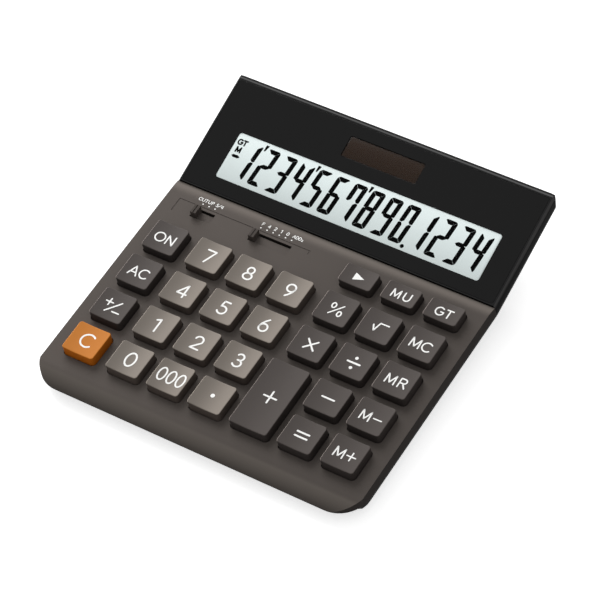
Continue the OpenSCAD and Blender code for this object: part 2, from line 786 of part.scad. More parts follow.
module solar_window() {
    color([0.35, 0.25, 0.20, 0.5])
        screen_plate(solar_x, solar_s + fit_gap, solar_w - 2 * fit_gap, solar_d - 2 * fit_gap,
            0, panel_t, solar_r);
}

module lcd_glass() {
    color([0.82, 0.88, 0.87])
        screen_plate(lcd_x, lcd_s - glass_border, lcd_w + 2 * glass_border, lcd_d + 2 * glass_border,
            glass_top, glass_t, 0.5);
}

// the reflector leaves the front ledge of the glass free for the ribbon
module lcd_reflector() {
    ledge = holder_front - lcd_s + glass_border;
    color([0.75, 0.76, 0.74])
        screen_plate(lcd_x, holder_front, lcd_w, lcd_d + 2 * glass_border - ledge, glass_bottom,
            reflector_t, 0.5);
}

module solar_cell() {
    color([0.16, 0.11, 0.09])
        screen_plate(solar_x, solar_s - cell_border, solar_w + 2 * cell_border, solar_d + 2 * cell_border,
            glass_top, cell_t, 0.5);
}

lead_x = [for (i = [1, 2]) solar_x + solar_w / 2 - lead_pitch * i];
lead_s = solar_s + solar_d / 2;

module lcd_holder() {
    w = 2 * holder_x + 4 * small_boss_r;
    color([0.20, 0.20, 0.21]) difference() {
        screen_plate(0, holder_front, w, screen_len - holder_rear - holder_front, holder_top, holder_t, 2);
        on_screen() for (p = holder_screw_places)
            translate([p[0], p[1], holder_bottom - bite])
                cylinder(r = small_screw_r + screw_gap, h = holder_t + 2 * bite);
        screen_plate((lead_x[0] + lead_x[1]) / 2, lead_s - lead_room / 2, lead_pitch + 2 * lead_w, lead_room,
            holder_top + bite, holder_t + 2 * bite, 0.6);
    }
}

module holder_screws() {
    color("silver") on_screen() for (p = holder_screw_places)
        translate([p[0], p[1], holder_bottom - small_head_h]) {
            cylinder(r = small_head_r, h = small_head_h);
            cylinder(r = small_screw_r, h = small_head_h + holder_t + plate_bottom - holder_top + 0.3);
        }
}

// flexible ribbon from the front ledge of the glass down to the board
module lcd_ribbon() {
    start = screen_point(holder_front - 0.4, glass_bottom);
    edge = screen_point(lcd_s - glass_border + 0.3, glass_bottom);
    foot = deck_point(deck_len + (edge[0] - seam_y), board_top);
    end = deck_point(deck_len + (edge[0] - seam_y) + ribbon_foot, board_top);
    t = ribbon_t;
    color([0.55, 0.42, 0.25]) translate([lcd_x, 0, 0]) across(ribbon_w)
        polygon([
            start, edge, foot, end, end + [0, t], foot + [t, t], edge + [t, -t], start + [0, -t]]);
}

// two leads from the back of the solar cell to the rear of the board
module solar_leads() {
    top = screen_point(lead_s, glass_top - cell_t);
    top_side = screen_point(lead_s - lead_w, glass_top - cell_t);
    turn = screen_point(lead_s - 1, holder_bottom - 1.6);
    foot = deck_point(deck_len + board_tail - 1, board_top);
    up = [0, lead_w];
    side = [-lead_w, 0];
    color([0.55, 0.12, 0.10]) for (x = lead_x) translate([x, 0, 0]) across(lead_w)
        polygon([top, turn, foot, foot + side, turn + side + up / 2, top_side]);
}

// ---- board ----

module main_board() {
    w = body_w / 2 - board_side;
    y1 = deck_len + board_tail;
    color([0.16, 0.32, 0.20]) difference() {
        on_deck() translate([-w, board_front, board_bottom]) cube([2 * w, y1 - board_front, board_t]);
        on_deck() for (p = board_screw_places)
            translate([p[0], p[1], board_bottom - bite])
                cylinder(r = small_screw_r + screw_gap, h = board_t + 2 * bite);
        for (p = deck_screw_places)
            translate([p[0], p[1], 0]) cylinder(r = boss_r + 0.5, h = seam_z);
    }
}

module chip() {
    color([0.10, 0.10, 0.10]) on_deck()
        translate([-body_w / 4, row_y(3), board_bottom - chip_h])
            cylinder(r1 = chip_r - 1, r2 = chip_r, h = chip_h);
}

module capacitors() {
    color([0.18, 0.20, 0.36]) on_deck() for (x = [0, 1])
        translate([-x * capacitor_pitch, row_y(4), board_bottom - capacitor_r - screw_gap])
            rotate([-90, 0, 0]) cylinder(r = capacitor_r, h = capacitor_len);
}

module board_screws() {
    color("silver") on_deck() for (p = board_screw_places)
        translate([p[0], p[1], board_bottom - small_head_h]) {
            cylinder(r = small_head_r, h = small_head_h);
            cylinder(r = small_screw_r, h = small_head_h + board_t - board_top - plate_t - 0.2);
        }
}

// ---- lower case ----

// the parting line between the shells and the lower case, raised by h: a side view
function parting_line(h) = [
    [front_y - bite, front_h - skirt_h + h - bite * sin_d / cos_d], [seam_y, seam_z - skirt_h + h],
    [rear_y + bite, seam_z - skirt_h + h + (rear_y + bite - seam_y) * sin_s / cos_s]];

// side view of the lower case; inset, above and floor give the view of its inside
module under_side(inset, above, floor) {
    slant = floor * underside_slant;
    bend = base_end + (floor - slant) / underside_rise;
    low = base_z + floor;
    polygon(concat(parting_line(above), [
        [rear_y + bite, base_z + slant + (rear_y + bite - base_end) * underside_rise],
        [bend, low],
        [front_y + inset + taper * (rim_front_z - low), low],
        [front_y + inset - bite / 2, rim_front_z + bite / 2 / taper]]));
}

// front view of the lower case under a surface whose tilt has the cosine c
module under_front(inset, c) {
    w = body_w / 2 - inset;
    rim = -(skirt_h + rim_h) * c;
    depth = tail_h + front_h + rear_screw_y;
    polygon([
        [-w, far / 4], [w, far / 4], [w, rim], [w - taper * depth, rim - depth * c],
        [taper * depth - w, rim - depth * c], [-w, rim]]);
}

// each of the two front views is the narrower one on its own side of the seam
module under_body(inset, above, floor) {
    intersection() {
        column(inset);
        across(far) under_side(inset, above, floor);
        on_deck() along(-far / 4, far) under_front(inset, cos_d);
        on_screen() along(-far / 4, far) under_front(inset, cos_s);
    }
}

// carries the taper round the two front corners
module corner_tapers() {
    top = rim_front_z + front_corner_r * sin_d / 3;
    for (m = [0, 1]) mirror([m, 0])
        translate([body_w / 2 - front_corner_r, front_y + front_corner_r, 0]) difference() {
            translate([0, -front_corner_r - bite, 0])
                cube([front_corner_r + bite, front_corner_r + bite, top]);
            cylinder(r1 = front_corner_r - taper * top, r2 = front_corner_r, h = top);
        }
}

module standoffs() {
    for (p = deck_screw_places)
        translate([p[0], p[1], base_z]) cylinder(r = boss_r + 0.6, h = shelf_z + screw_grip - base_z);
    for (p = rear_screw_places)
        translate([p[0], p[1], rear_shelf_z - screw_head_h]) cylinder(r = boss_r + 0.6,
            h = screw_head_h + screw_grip);
}

module battery_well() {
    translate([battery_x, battery_y, base_z]) {
        cylinder(r = battery_r + battery_gap + battery_ring, h = cell_top - base_z - 0.4);
        translate([cover_reach, 0, 0]) cylinder(r = boss_r, h = cell_top - base_z - 0.4);
        cover_shape(cover_gap + battery_ring, floor_t + 0.6);
    }
}

// tongues along the sides and the rear, which locate the two upper shells
module tongues() {
    low = parting_line(-tongue_t);
    difference() {
        intersection() {
            column(skirt_t + tongue_gap);
            across(far) polygon(concat(parting_line(tongue_h), [low[2], low[1], low[0]]));
        }
        column(wall_inset);
        translate([-far / 2, front_y - far + roll_len, -bite]) cube([far, far, far]);
        translate([-far / 2, seam_y - seam_room, -bite]) cube([far, 2 * seam_room, far]);
    }
}

module lower_case() {
    color([0.08, 0.08, 0.08]) difference() {
        union() {
            difference() {
                under_body(0, 0, 0);
                under_body(wall_inset, bite, floor_t);
            }
            tongues();
            standoffs();
            battery_well();
        }
        corner_tapers();
        for (p = deck_screw_places) screw_room(p, shelf_z);
        for (p = rear_screw_places) screw_room(p, rear_shelf_z);
        for (p = foot_places)
            translate([p[0], p[1], base_z - bite]) cylinder(r = foot_r + foot_gap, h = foot_seat + bite);
        battery_room();
    }
}

// counterbore and hole for one case screw whose head seats at z
module screw_room(p, z) {
    translate([p[0], p[1], z - far / 4]) cylinder(r = screw_head_r + screw_gap, h = far / 4);
    translate([p[0], p[1], z - bite]) cylinder(r = bore_r, h = screw_grip + 2 * bite);
}

module battery_room() {
    translate([battery_x, battery_y, 0]) {
        cylinder(r = battery_r + battery_gap, h = cell_top + bite);
        translate([0, 0, base_z - bite]) cover_shape(cover_gap, cover_t + screw_gap + bite);
        translate([cover_reach, 0, 0]) cylinder(r = small_screw_r + screw_gap, h = cell_top - 1);
        translate([0, battery_r, cell_bottom]) translate([-2.4, 0, 0]) cube([4.8, 2 * battery_ring, battery_h]);
    }
}

// outline of the battery cover, grown by a clearance
module cover_shape(gap, h) {
    linear_extrude(h) rounded_rect(-battery_r - 2 - gap, -cover_w / 2 - gap, cover_reach + 3.4 + gap,
        cover_w / 2 + gap, 1.5);
}

module battery_cover() {
    color([0.09, 0.09, 0.09]) translate([battery_x, battery_y, base_z]) difference() {
        cover_shape(0, cover_t);
        translate([cover_reach, 0, -bite]) cylinder(r = small_screw_r + screw_gap, h = cover_t + 2 * bite);
        translate([cover_reach, 0, -bite]) cylinder(r = small_head_r + 0.2, h = small_head_h + bite);
        for (i = [0:3]) translate([-battery_r + 0.4 + 1.4 * i, -cover_w / 4, -bite])
            cube([0.6, cover_w / 2, bite + 0.3]);
    }
}

module battery_screw() {
    color("silver") translate([battery_x + cover_reach, battery_y, base_z]) {
        cylinder(r = small_head_r, h = small_head_h);
        cylinder(r = small_screw_r, h = cell_top - base_z - 1.3);
    }
}

module battery() {
    color("silver") translate([battery_x, battery_y, cell_bottom]) {
        cylinder(r = battery_r, h = battery_h - 0.4);
        cylinder(r = battery_r - 1.2, h = battery_h);
    }
}

board_z = deck_point((battery_y - front_y) / cos_d, board_bottom)[1];

module battery_contact_minus() {
    lift = 0.1;
    color([0.82, 0.66, 0.36]) translate([battery_x, battery_y, cell_top + lift]) {
        translate([-3, -1.5, 0]) cube([6, 3, contact_t]);
        translate([-3, -1.5, 0]) cube([contact_t, 3, board_z - cell_top - 2 * lift]);
    }
}

module battery_contact_plus() {
    y = battery_y + battery_r + screw_gap;
    color([0.82, 0.66, 0.36]) translate([battery_x - 2, y, cell_bottom + 0.2])
        cube([4, contact_t, board_z - cell_bottom - 0.4]);
}

module case_screws() {
    color("silver") {
        for (p = deck_screw_places) case_screw(p, shelf_z);
        for (p = rear_screw_places) case_screw(p, rear_shelf_z);
    }
}

module case_screw(p, z) {
    translate([p[0], p[1], z - screw_head_h]) difference() {
        union() {
            cylinder(r = screw_head_r, h = screw_head_h);
            cylinder(r = screw_r, h = screw_head_h + screw_len);
        }
        for (a = [0, 90]) rotate(a) translate([-screw_head_r * 0.6, -0.25, -bite])
            cube([screw_head_r * 1.2, 0.5, bite + 0.6]);
    }
}

module rubber_feet() {
    color([0.12, 0.12, 0.12]) for (p = foot_places)
        translate([p[0], p[1], 0]) cylinder(r = foot_r, h = foot_h + foot_seat);
}

// ---- the nodes ----

for (k = KEYS) key_cap(k);
upper_case();
lower_case();
display_bezel();
display_panel();
lcd_window();
solar_window();
lcd_glass();
lcd_reflector();
lcd_holder();
holder_screws();
lcd_ribbon();
solar_cell();
solar_leads();
main_board();
chip();
capacitors();
key_mat();
board_screws();
rounding_slider();
decimal_slider();
rounding_wiper();
decimal_wiper();
battery();
battery_contact_plus();
battery_contact_minus();
battery_cover();
battery_screw();
case_screws();
rubber_feet();
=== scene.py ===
import json
import math

import bmesh
import bpy
from mathutils import Matrix, Vector


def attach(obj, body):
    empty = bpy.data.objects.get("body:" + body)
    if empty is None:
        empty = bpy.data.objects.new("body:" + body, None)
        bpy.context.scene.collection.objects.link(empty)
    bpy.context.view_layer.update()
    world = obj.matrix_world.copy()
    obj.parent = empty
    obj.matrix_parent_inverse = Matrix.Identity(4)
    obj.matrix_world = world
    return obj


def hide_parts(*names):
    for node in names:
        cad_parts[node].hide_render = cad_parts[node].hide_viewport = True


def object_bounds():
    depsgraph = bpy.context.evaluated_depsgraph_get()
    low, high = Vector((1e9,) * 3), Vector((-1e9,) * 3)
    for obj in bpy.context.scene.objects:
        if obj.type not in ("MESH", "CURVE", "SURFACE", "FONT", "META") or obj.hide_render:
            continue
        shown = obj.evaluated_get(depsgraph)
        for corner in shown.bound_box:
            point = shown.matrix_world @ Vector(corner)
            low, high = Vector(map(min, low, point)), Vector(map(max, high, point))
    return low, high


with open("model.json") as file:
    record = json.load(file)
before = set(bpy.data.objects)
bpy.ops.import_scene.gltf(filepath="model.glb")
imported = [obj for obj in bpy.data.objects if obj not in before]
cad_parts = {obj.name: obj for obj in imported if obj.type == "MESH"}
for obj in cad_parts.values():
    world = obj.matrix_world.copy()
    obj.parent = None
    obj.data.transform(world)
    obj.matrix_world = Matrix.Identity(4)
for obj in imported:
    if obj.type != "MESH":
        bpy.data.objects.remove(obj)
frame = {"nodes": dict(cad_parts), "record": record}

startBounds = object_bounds()
mm = 0.001
nodes = frame["nodes"]
scene = bpy.context.scene

# the two sloping surfaces that everything is laid out on
case = {
    "deckTilt": 2.5,  # degrees
    "screenTilt": 16.35,  # degrees
    "frontY": startBounds[0][1] / mm,  # mm, the front edge
    "frontHeight": 9.0,  # mm
    "deckLength": 109.5,  # mm
}


def slopeMatrix(y, z, tilt):
    return Matrix.Translation((0, y, z)) @ Matrix.Rotation(math.radians(tilt), 4, "X")


deckTurn = math.radians(case["deckTilt"])
deckMatrix = slopeMatrix(case["frontY"], case["frontHeight"], case["deckTilt"])
screenMatrix = slopeMatrix(
    case["frontY"] + case["deckLength"] * math.cos(deckTurn),
    case["frontHeight"] + case["deckLength"] * math.sin(deckTurn),
    case["screenTilt"],
)


class Value:
    def __init__(self, graph, socket):
        self.graph = graph
        self.socket = socket

    def __add__(self, other):
        return self.graph.math("ADD", self, other)

    def __radd__(self, other):
        return self.graph.math("ADD", other, self)

    def __sub__(self, other):
        return self.graph.math("SUBTRACT", self, other)

    def __rsub__(self, other):
        return self.graph.math("SUBTRACT", other, self)

    def __mul__(self, other):
        return self.graph.math("MULTIPLY", self, other)

    def __rmul__(self, other):
        return self.graph.math("MULTIPLY", other, self)

    def __truediv__(self, other):
        return self.graph.math("DIVIDE", self, other)

    def __rtruediv__(self, other):
        return self.graph.math("DIVIDE", other, self)


class Graph:
    def __init__(self, owner, outputKind="ShaderNodeOutputMaterial"):
        owner.use_nodes = True
        self.owner = owner
        self.tree = owner.node_tree
        self.tree.nodes.clear()
        self.output = self.tree.nodes.new(outputKind)

    # any node: its type, its settings, and values or sockets for its inputs
    def node(self, kind, settings=None, inputs=None):
        made = self.tree.nodes.new(kind)
        for key, value in (settings or {}).items():
            setattr(made, key, value)
        for key, value in (inputs or {}).items():
            self.feed(made.inputs[key], value)
        return made

    def feed(self, target, value):
        if isinstance(value, Value):
            self.tree.links.new(value.socket, target)
        elif isinstance(value, bpy.types.NodeSocket):
            self.tree.links.new(value, target)
        else:
            target.default_value = value

    def math(self, operation, a, b):
        made = self.node("ShaderNodeMath", {"operation": operation}, {0: a, 1: b})
        return Value(self, made.outputs[0])

    def place(self):
        return self.node("ShaderNodeTexCoord").outputs["Object"]

    def noise(self, scale, detail=3.0, roughness=0.5, vector=None):
        made = self.node(
            "ShaderNodeTexNoise",
            None,
            {"Vector": vector or self.place(), "Scale": scale, "Detail": detail, "Roughness": roughness},
        )
        return Value(self, made.outputs["Fac"])

    def blendColours(self, factor, a, b):
        made = self.node("ShaderNodeMix", {"data_type": "RGBA", "blend_type": "MIX"})
        self.feed(made.inputs[0], factor)
        self.feed(made.inputs[6], a)
        self.feed(made.inputs[7], b)
        return made.outputs[2]

    # 0 below the low value, 1 above the high one, eased between them
    def ramp(self, value, low, high):
        made = self.node(
            "ShaderNodeMapRange",
            {"interpolation_type": "SMOOTHSTEP"},
            {"Value": value, "From Min": low, "From Max": high},
        )
        return Value(self, made.outputs["Result"])

    def bump(self, height, strength, distance):
        made = self.node(
            "ShaderNodeBump", None, {"Height": height, "Strength": strength, "Distance": distance}
        )
        return made.outputs["Normal"]

    def shade(self, inputs):
        shader = self.node("ShaderNodeBsdfPrincipled", None, inputs)
        self.feed(self.output.inputs["Surface"], shader.outputs["BSDF"])
        return self.owner


def newSurface(name):
    return Graph(bpy.data.materials.new(name))


# a colour written as six hexadecimal digits, in linear light
def colour(text):
    parts = [int(text[i : i + 2], 16) / 255 for i in (0, 2, 4)]
    linear = [p / 12.92 if p <= 0.04045 else ((p + 0.055) / 1.055) ** 2.4 for p in parts]
    return tuple(linear) + (1.0,)


# the same colour, paler or darker by a share
def shifted(rgba, share):
    return tuple(min(1.0, max(0.0, c * (1 + share))) for c in rgba[:3]) + (1.0,)


# a moulded surface: slow colour drift, fine grain in the bump and an uneven sheen
def moulded(name, base, roughness, look):
    graph = newSurface(name)
    place = graph.place()
    slow = graph.noise(look["driftScale"], 2.0, 0.5, place)
    grain = graph.noise(look["grainScale"], 2.0, 0.6, place)
    tone = graph.blendColours(slow, shifted(base, -look["drift"]), shifted(base, look["drift"]))
    sheen = (slow - 0.5) * look["sheenSpread"] + (grain - 0.5) * look["sheenSpread"] + roughness
    return graph.shade(
        {
            "Base Color": tone,
            "Roughness": sheen,
            "Metallic": look["metallic"],
            "IOR": 1.46,
            "Specular IOR Level": look["specular"],
            "Normal": graph.bump(grain, look["grainStrength"], look["grainDepth"]),
        }
    )


# kinds of surface
satin = {
    "driftScale": 60.0,
    "drift": 0.03,
    "grainScale": 5200.0,
    "grainStrength": 0.35,
    "grainDepth": 0.00003,  # m
    "sheenSpread": 0.08,
    "metallic": 0.0,
    "specular": 0.3,
}
smooth = dict(satin, grainStrength=0.06, sheenSpread=0.03, grainScale=900.0, drift=0.02)
metal = dict(smooth, metallic=1.0, drift=0.06, driftScale=300.0, grainStrength=0.15)
dull = dict(satin, specular=0.06)
gloss = dict(smooth, specular=0.12)

paints = {
    "deck": colour("534d49"),
    "deckEdgeHighlight": colour("5d5752"),
    "deckWallShade": colour("272321"),
    "deckRearHighlight": colour("756d67"),
    "numberKey": colour("7e766e"),
    "numberWallShade": colour("4a423d"),
    "functionKey": colour("4a4441"),
    "functionWallShade": colour("322d2b"),
    "orangeKey": colour("c0762c"),
    "orangeWallShade": colour("a85a12"),
    "base": colour("141313"),
    "bezel": colour("212121"),
    "bezelSlopeReflection": colour("3e3d3d"),
    "bezelHighlightLine": colour("5a5a5a"),
    "bezelWallShade": colour("060606"),
    "panel": colour("141414"),
    "legend": colour("f2f2f0"),
    "glass": colour("eef9f8"),
    "segment": colour("020202"),
    "solar": colour("33271f"),
    "solarGap": colour("3d3029"),
    "clear": colour("101414"),
    "tinted": colour("33271f"),
    "knob": colour("433d39"),
    "inner": colour("3a3a3c"),
    "reflector": colour("c4c6c2"),
    "screw": colour("b8b8b4"),
    "ribbon": colour("9a7440"),
    "lead": colour("8c1f1a"),
    "board": colour("2a5a36"),
    "chip": colour("161616"),
    "capacitor": colour("2c3158"),
    "mat": colour("4c5054"),
    "contact": colour("c9a35a"),
    "cell": colour("c8c8c6"),
    "foot": colour("141414"),
}


# how far a surface is turned towards a direction, 0 to 1
def turned(graph, direction):
    normal = graph.node("ShaderNodeNewGeometry").outputs["Normal"]
    made = graph.node("ShaderNodeVectorMath", {"operation": "DOT_PRODUCT"}, {0: normal, 1: direction})
    return made.outputs["Value"]


# how squarely a surface faces away from the plane of a matrix, 0 to 1
def facing(graph, matrix):
    return turned(graph, matrix.to_3x3() @ Vector((0, 0, 1)))


# corners of a solid's box in the frame of a matrix, in millimetres
def localBox(node, matrix):
    back = matrix.inverted()
    points = [back @ (v.co / mm) for v in nodes[node].data.vertices]
    low = Vector([min(p[i] for p in points) for i in range(3)])
    high = Vector([max(p[i] for p in points) for i in range(3)])
    return low, high


# the grain that all moulded pieces share
def fineGrain(graph):
    return graph.noise(satin["grainScale"], 2.0, 0.6)


# mm behind the panel, where the painted highlight line on the rear rim lies, and how softly that begins and
# ends
bezelHighlightLine = {"from": 0.55, "to": 1.2, "soft": 0.3}
# how level a surface is where one tone turns into the next
bezelLevels = {"side": (0.35, 0.5), "line": (0.7, 0.9), "top": (0.75, 0.98)}


# the bezel: painted shade on its walls, a painted reflection on its sloping sides, and a painted highlight
# line along its rear edge
def bezelMaterial():
    graph = newSurface("bezelPlastic")
    grain = fineGrain(graph)
    level = facing(graph, screenMatrix)
    axis = screenMatrix.to_3x3() @ Vector((0, 1, 0))
    made = graph.node("ShaderNodeVectorMath", {"operation": "DOT_PRODUCT"}, {0: graph.place(), 1: axis})
    panelEnd = axis.dot(screenMatrix.translation) + localBox("display_panel", screenMatrix)[1].y
    behind = Value(graph, made.outputs["Value"]) / mm - panelEnd
    near, far, soft = (bezelHighlightLine[k] for k in ("from", "to", "soft"))
    line = graph.ramp(behind, near, near + soft) * (1 - graph.ramp(behind, far, far + soft))
    # painted reflection on the sloping sides, painted shade on the steep walls
    reflectionShare = graph.ramp(level, *bezelLevels["side"]) * (1 - graph.ramp(behind, far, far + soft))
    slope = graph.blendColours(reflectionShare, paints["bezelWallShade"], paints["bezelSlopeReflection"])
    tone = graph.blendColours(graph.ramp(level, *bezelLevels["top"]), slope, paints["bezel"])
    # painted highlight line along the rear rim
    highlightShare = line * graph.ramp(level, *bezelLevels["line"])
    return graph.shade(
        {
            "Base Color": graph.blendColours(highlightShare, tone, paints["bezelHighlightLine"]),
            "Roughness": (grain - 0.5) * 0.1 + 0.5,
            "Specular IOR Level": 0.04,
            "Normal": graph.bump(grain, 0.2, satin["grainDepth"]),
        }
    )


# how far the painted shading pales a top from left to right, and how much paler the painted highlight on
# its left edge is, as shares
keyFinishes = {
    "number": {"name": "numberKeys", "top": "numberKey", "wall": "numberWallShade", "spread": 0.28, "edge": 2.2},
    "function": {
        "name": "functionKeys", "top": "functionKey", "wall": "functionWallShade", "spread": 0.1, "edge": 5.0
    },
    "orange": {"name": "orangeKey", "top": "orangeKey", "wall": "orangeWallShade", "spread": 0.05, "edge": 1.0},
}
# where a tone begins and ends: across the key, by how level it is, and by how far it turns left
keyRamps = {"across": (0.12, 0.9), "top": (0.3, 0.8), "highlightLevel": (0.25, 0.5), "highlightLeft": (0.25, 0.45)}


# a key: painted shade on its walls, painted shading on its top that pales it from left to right, and a
# painted highlight along its left edge
def keyMaterial(kind):
    finish = keyFinishes[kind]
    top, wall = paints[finish["top"]], paints[finish["wall"]]
    spread = finish["spread"]
    graph = newSurface(finish["name"])
    grain = fineGrain(graph)
    slow = graph.noise(satin["driftScale"])
    place = graph.node("ShaderNodeTexCoord").outputs["Generated"]
    across = graph.node("ShaderNodeSeparateXYZ", None, {0: place}).outputs["X"]
    # painted shading across the top, darker on the left and paler on the right
    share = graph.ramp(across, *keyRamps["across"]) * 0.9 + slow * 0.1
    tone = graph.blendColours(share, shifted(top, -spread), shifted(top, spread))
    level = facing(graph, deckMatrix)
    # painted shade: the walls take the darker wall colour
    tone = graph.blendColours(graph.ramp(level, *keyRamps["top"]), wall, tone)
    # painted highlight on the left-facing rounded edge of the top
    left = graph.ramp(turned(graph, (-1, 0, 0)), *keyRamps["highlightLeft"])
    leftHighlight = left * graph.ramp(level, *keyRamps["highlightLevel"])
    return graph.shade(
        {
            "Base Color": graph.blendColours(leftHighlight, tone, shifted(top, finish["edge"])),
            "Roughness": (grain - 0.5) * 0.08 + 0.5,
            "Specular IOR Level": 0.09,
            "Normal": graph.bump(grain, satin["grainStrength"], satin["grainDepth"]),
        }
    )


deckTones = {
    "spread": 0.13,  # how far the painted shading darkens it from left to right, as a share
    "left": -0.06,  # m, where that begins
    "right": 0.07,  # m, where that ends
    "highlightBand": 0.0065,  # m, the band ahead of the display that is painted paler, a painted highlight
    "rounded": (0.5, 0.97),  # how level the rounded edges are
    "flat": (0.97, 0.9995),  # how level the flat top is
}


# the deck: a painted highlight on its rounded edges and just ahead of the display, painted shade on its
# walls, and painted shading from left to right
def deckMaterial():
    graph = newSurface("deckPlastic")
    grain = fineGrain(graph)
    slow = graph.noise(satin["driftScale"])
    place = graph.node("ShaderNodeSeparateXYZ", None, {0: graph.place()}).outputs
    # painted shading: paler on the left, darker on the right
    share = graph.ramp(place["X"], deckTones["left"], deckTones["right"]) * 0.8 + slow * 0.2
    spread = deckTones["spread"]
    tone = graph.blendColours(share, shifted(paints["deck"], spread), shifted(paints["deck"], -spread))
    # painted highlight: the deck pales just ahead of the display
    seam = screenMatrix.translation.y * mm
    rearHighlight = graph.ramp(place["Y"], seam - deckTones["highlightBand"], seam)
    tone = graph.blendColours(rearHighlight, tone, paints["deckRearHighlight"])
    # painted shade on the walls, turning into a painted highlight along the rounded edges
    level = facing(graph, deckMatrix)
    edge = graph.ramp(level, *deckTones["rounded"])
    rounded = graph.blendColours(edge, paints["deckWallShade"], paints["deckEdgeHighlight"])
    return graph.shade(
        {
            "Base Color": graph.blendColours(graph.ramp(level, *deckTones["flat"]), rounded, tone),
            "Roughness": (grain - 0.5) * 0.08 + 0.55,
            "Specular IOR Level": 0.04,
            "Normal": graph.bump(grain, satin["grainStrength"], satin["grainDepth"]),
        }
    )


# plain surfaces by slot: name of the material, paint, roughness and kind
mouldedSlots = {
    "base_plastic": ("basePlastic", "base", 0.5, dull),
    "panel_plastic": ("panelPlastic", "panel", 0.16, gloss),
    "slider_plastic": ("sliderPlastic", "knob", 0.5, dull),
    "inner_plastic": ("innerPlastic", "inner", 0.5, satin),
    "reflector_film": ("reflectorFilm", "reflector", 0.3, smooth),
    "screw_steel": ("screwSteel", "screw", 0.3, metal),
    "ribbon_film": ("ribbonFilm", "ribbon", 0.35, smooth),
    "lead_insulation": ("leadInsulation", "lead", 0.45, smooth),
    "board": ("board", "board", 0.4, smooth),
    "chip_resin": ("chipResin", "chip", 0.25, smooth),
    "capacitor_can": ("capacitorCan", "capacitor", 0.3, smooth),
    "mat_rubber": ("matRubber", "mat", 0.7, satin),
    "contact_metal": ("contactMetal", "contact", 0.3, metal),
    "cell_steel": ("cellSteel", "cell", 0.25, metal),
    "foot_rubber": ("footRubber", "foot", 0.8, dull),
    "legend_paint": ("legendPaint", "legend", 0.5, smooth),
    "segment_ink": ("segmentInk", "segment", 0.4, dict(smooth, specular=0.02)),
    "lcd_glass": ("lcdGlass", "glass", 0.35, dict(smooth, specular=0.1)),
}
materials = {"deck_plastic": deckMaterial(), "bezel_plastic": bezelMaterial()}
for kind in keyFinishes:
    materials[kind + "_key_plastic"] = keyMaterial(kind)
for slot, (name, paint, roughness, look) in mouldedSlots.items():
    materials[slot] = moulded(name, paints[paint], roughness, look)


# a see-through window
def clearPlate(name, tint, alpha, roughness):
    graph = newSurface(name)
    slow = graph.noise(40.0, 2.0)
    return graph.shade(
        {
            "Base Color": graph.blendColours(slow, tint, shifted(tint, 0.08)),
            "Roughness": slow * 0.03 + roughness,
            "Alpha": slow * 0.01 + alpha,
            "IOR": 1.49,
            "Specular IOR Level": 0.12,
        }
    )


materials["clear_window"] = clearPlate("clearWindow", paints["clear"], 0.02, 0.05)
materials["tinted_window"] = clearPlate("tintedWindow", paints["tinted"], 0.7, 0.2)

solarStrips = {"perMetre": 113.0, "gap": 0.04, "drift": 0.15}


# a dark cell in strips, with thin paler gaps
def solarMaterial():
    graph = newSurface("solarCell")
    place = graph.node("ShaderNodeSeparateXYZ", None, {"Vector": graph.place()}).outputs
    across = Value(graph, place["X"])
    share = graph.math("FRACT", across * solarStrips["perMetre"], 0.0)
    strip = graph.math("LESS_THAN", share, solarStrips["gap"])
    slow = graph.noise(70.0)
    drift = solarStrips["drift"]
    tone = graph.blendColours(slow, shifted(paints["solar"], -drift), shifted(paints["solar"], drift))
    return graph.shade(
        {
            "Base Color": graph.blendColours(strip, tone, paints["solarGap"]),
            "Roughness": slow * 0.1 + 0.35,
            "IOR": 1.5,
            "Specular IOR Level": 0.12,
        }
    )


materials["solar_cell"] = solarMaterial()
print("materials ready")


slotNames = [m["slot"] for m in frame["record"]["materials"]]


# its material, the body that it rides on, and the solids that it stands for
def finishPiece(obj, slot, body, replaced=()):
    obj.data.materials.clear()
    obj.data.materials.append(materials[slot])
    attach(obj, body)
    if replaced:
        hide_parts(*replaced)
    slot in slotNames


def shadeByAngle(mesh, degrees):
    for polygon in mesh.polygons:
        polygon.use_smooth = True
    mesh.set_sharp_from_angle(angle=math.radians(degrees))


meshLimits = {"merge": 1e-7, "thin": 1e-8}  # m


# points in millimetres, in the frame that the matrix places
def makeObject(name, points, faces, place, sharp):
    mesh = bpy.data.meshes.new(name)
    mesh.from_pydata([(place @ Vector(p)) * mm for p in points], [], faces)
    work = bmesh.new()
    work.from_mesh(mesh)
    bmesh.ops.remove_doubles(work, verts=work.verts, dist=meshLimits["merge"])
    bmesh.ops.dissolve_degenerate(work, edges=work.edges, dist=meshLimits["thin"])
    bmesh.ops.recalc_face_normals(work, faces=work.faces)
    work.to_mesh(mesh)
    work.free()
    shadeByAngle(mesh, sharp)
    obj = bpy.data.objects.new(name, mesh)
    scene.collection.objects.link(obj)
    return obj


# rounded rectangle with the same number of points at every size; across adds
# points along its front and rear edges
def roundedRing(x, y, halfWidth, halfDepth, radius, steps=6, across=0):
    points = []
    for sx, sy, start in ((1, 1, 0), (-1, 1, 90), (-1, -1, 180), (1, -1, 270)):
        cx = x + sx * (halfWidth - radius)
        cy = y + sy * (halfDepth - radius)
        for i in range(steps + 1):
            a = math.radians(start + 90 * i / steps)
            points.append((cx + radius * math.cos(a), cy + radius * math.sin(a)))
        if sx == sy:
            for i in range(1, across + 1):
                share = 1 - 2 * i / (across + 1)
                points.append((x + sx * (halfWidth - radius) * share, cy + sy * radius))
    return points


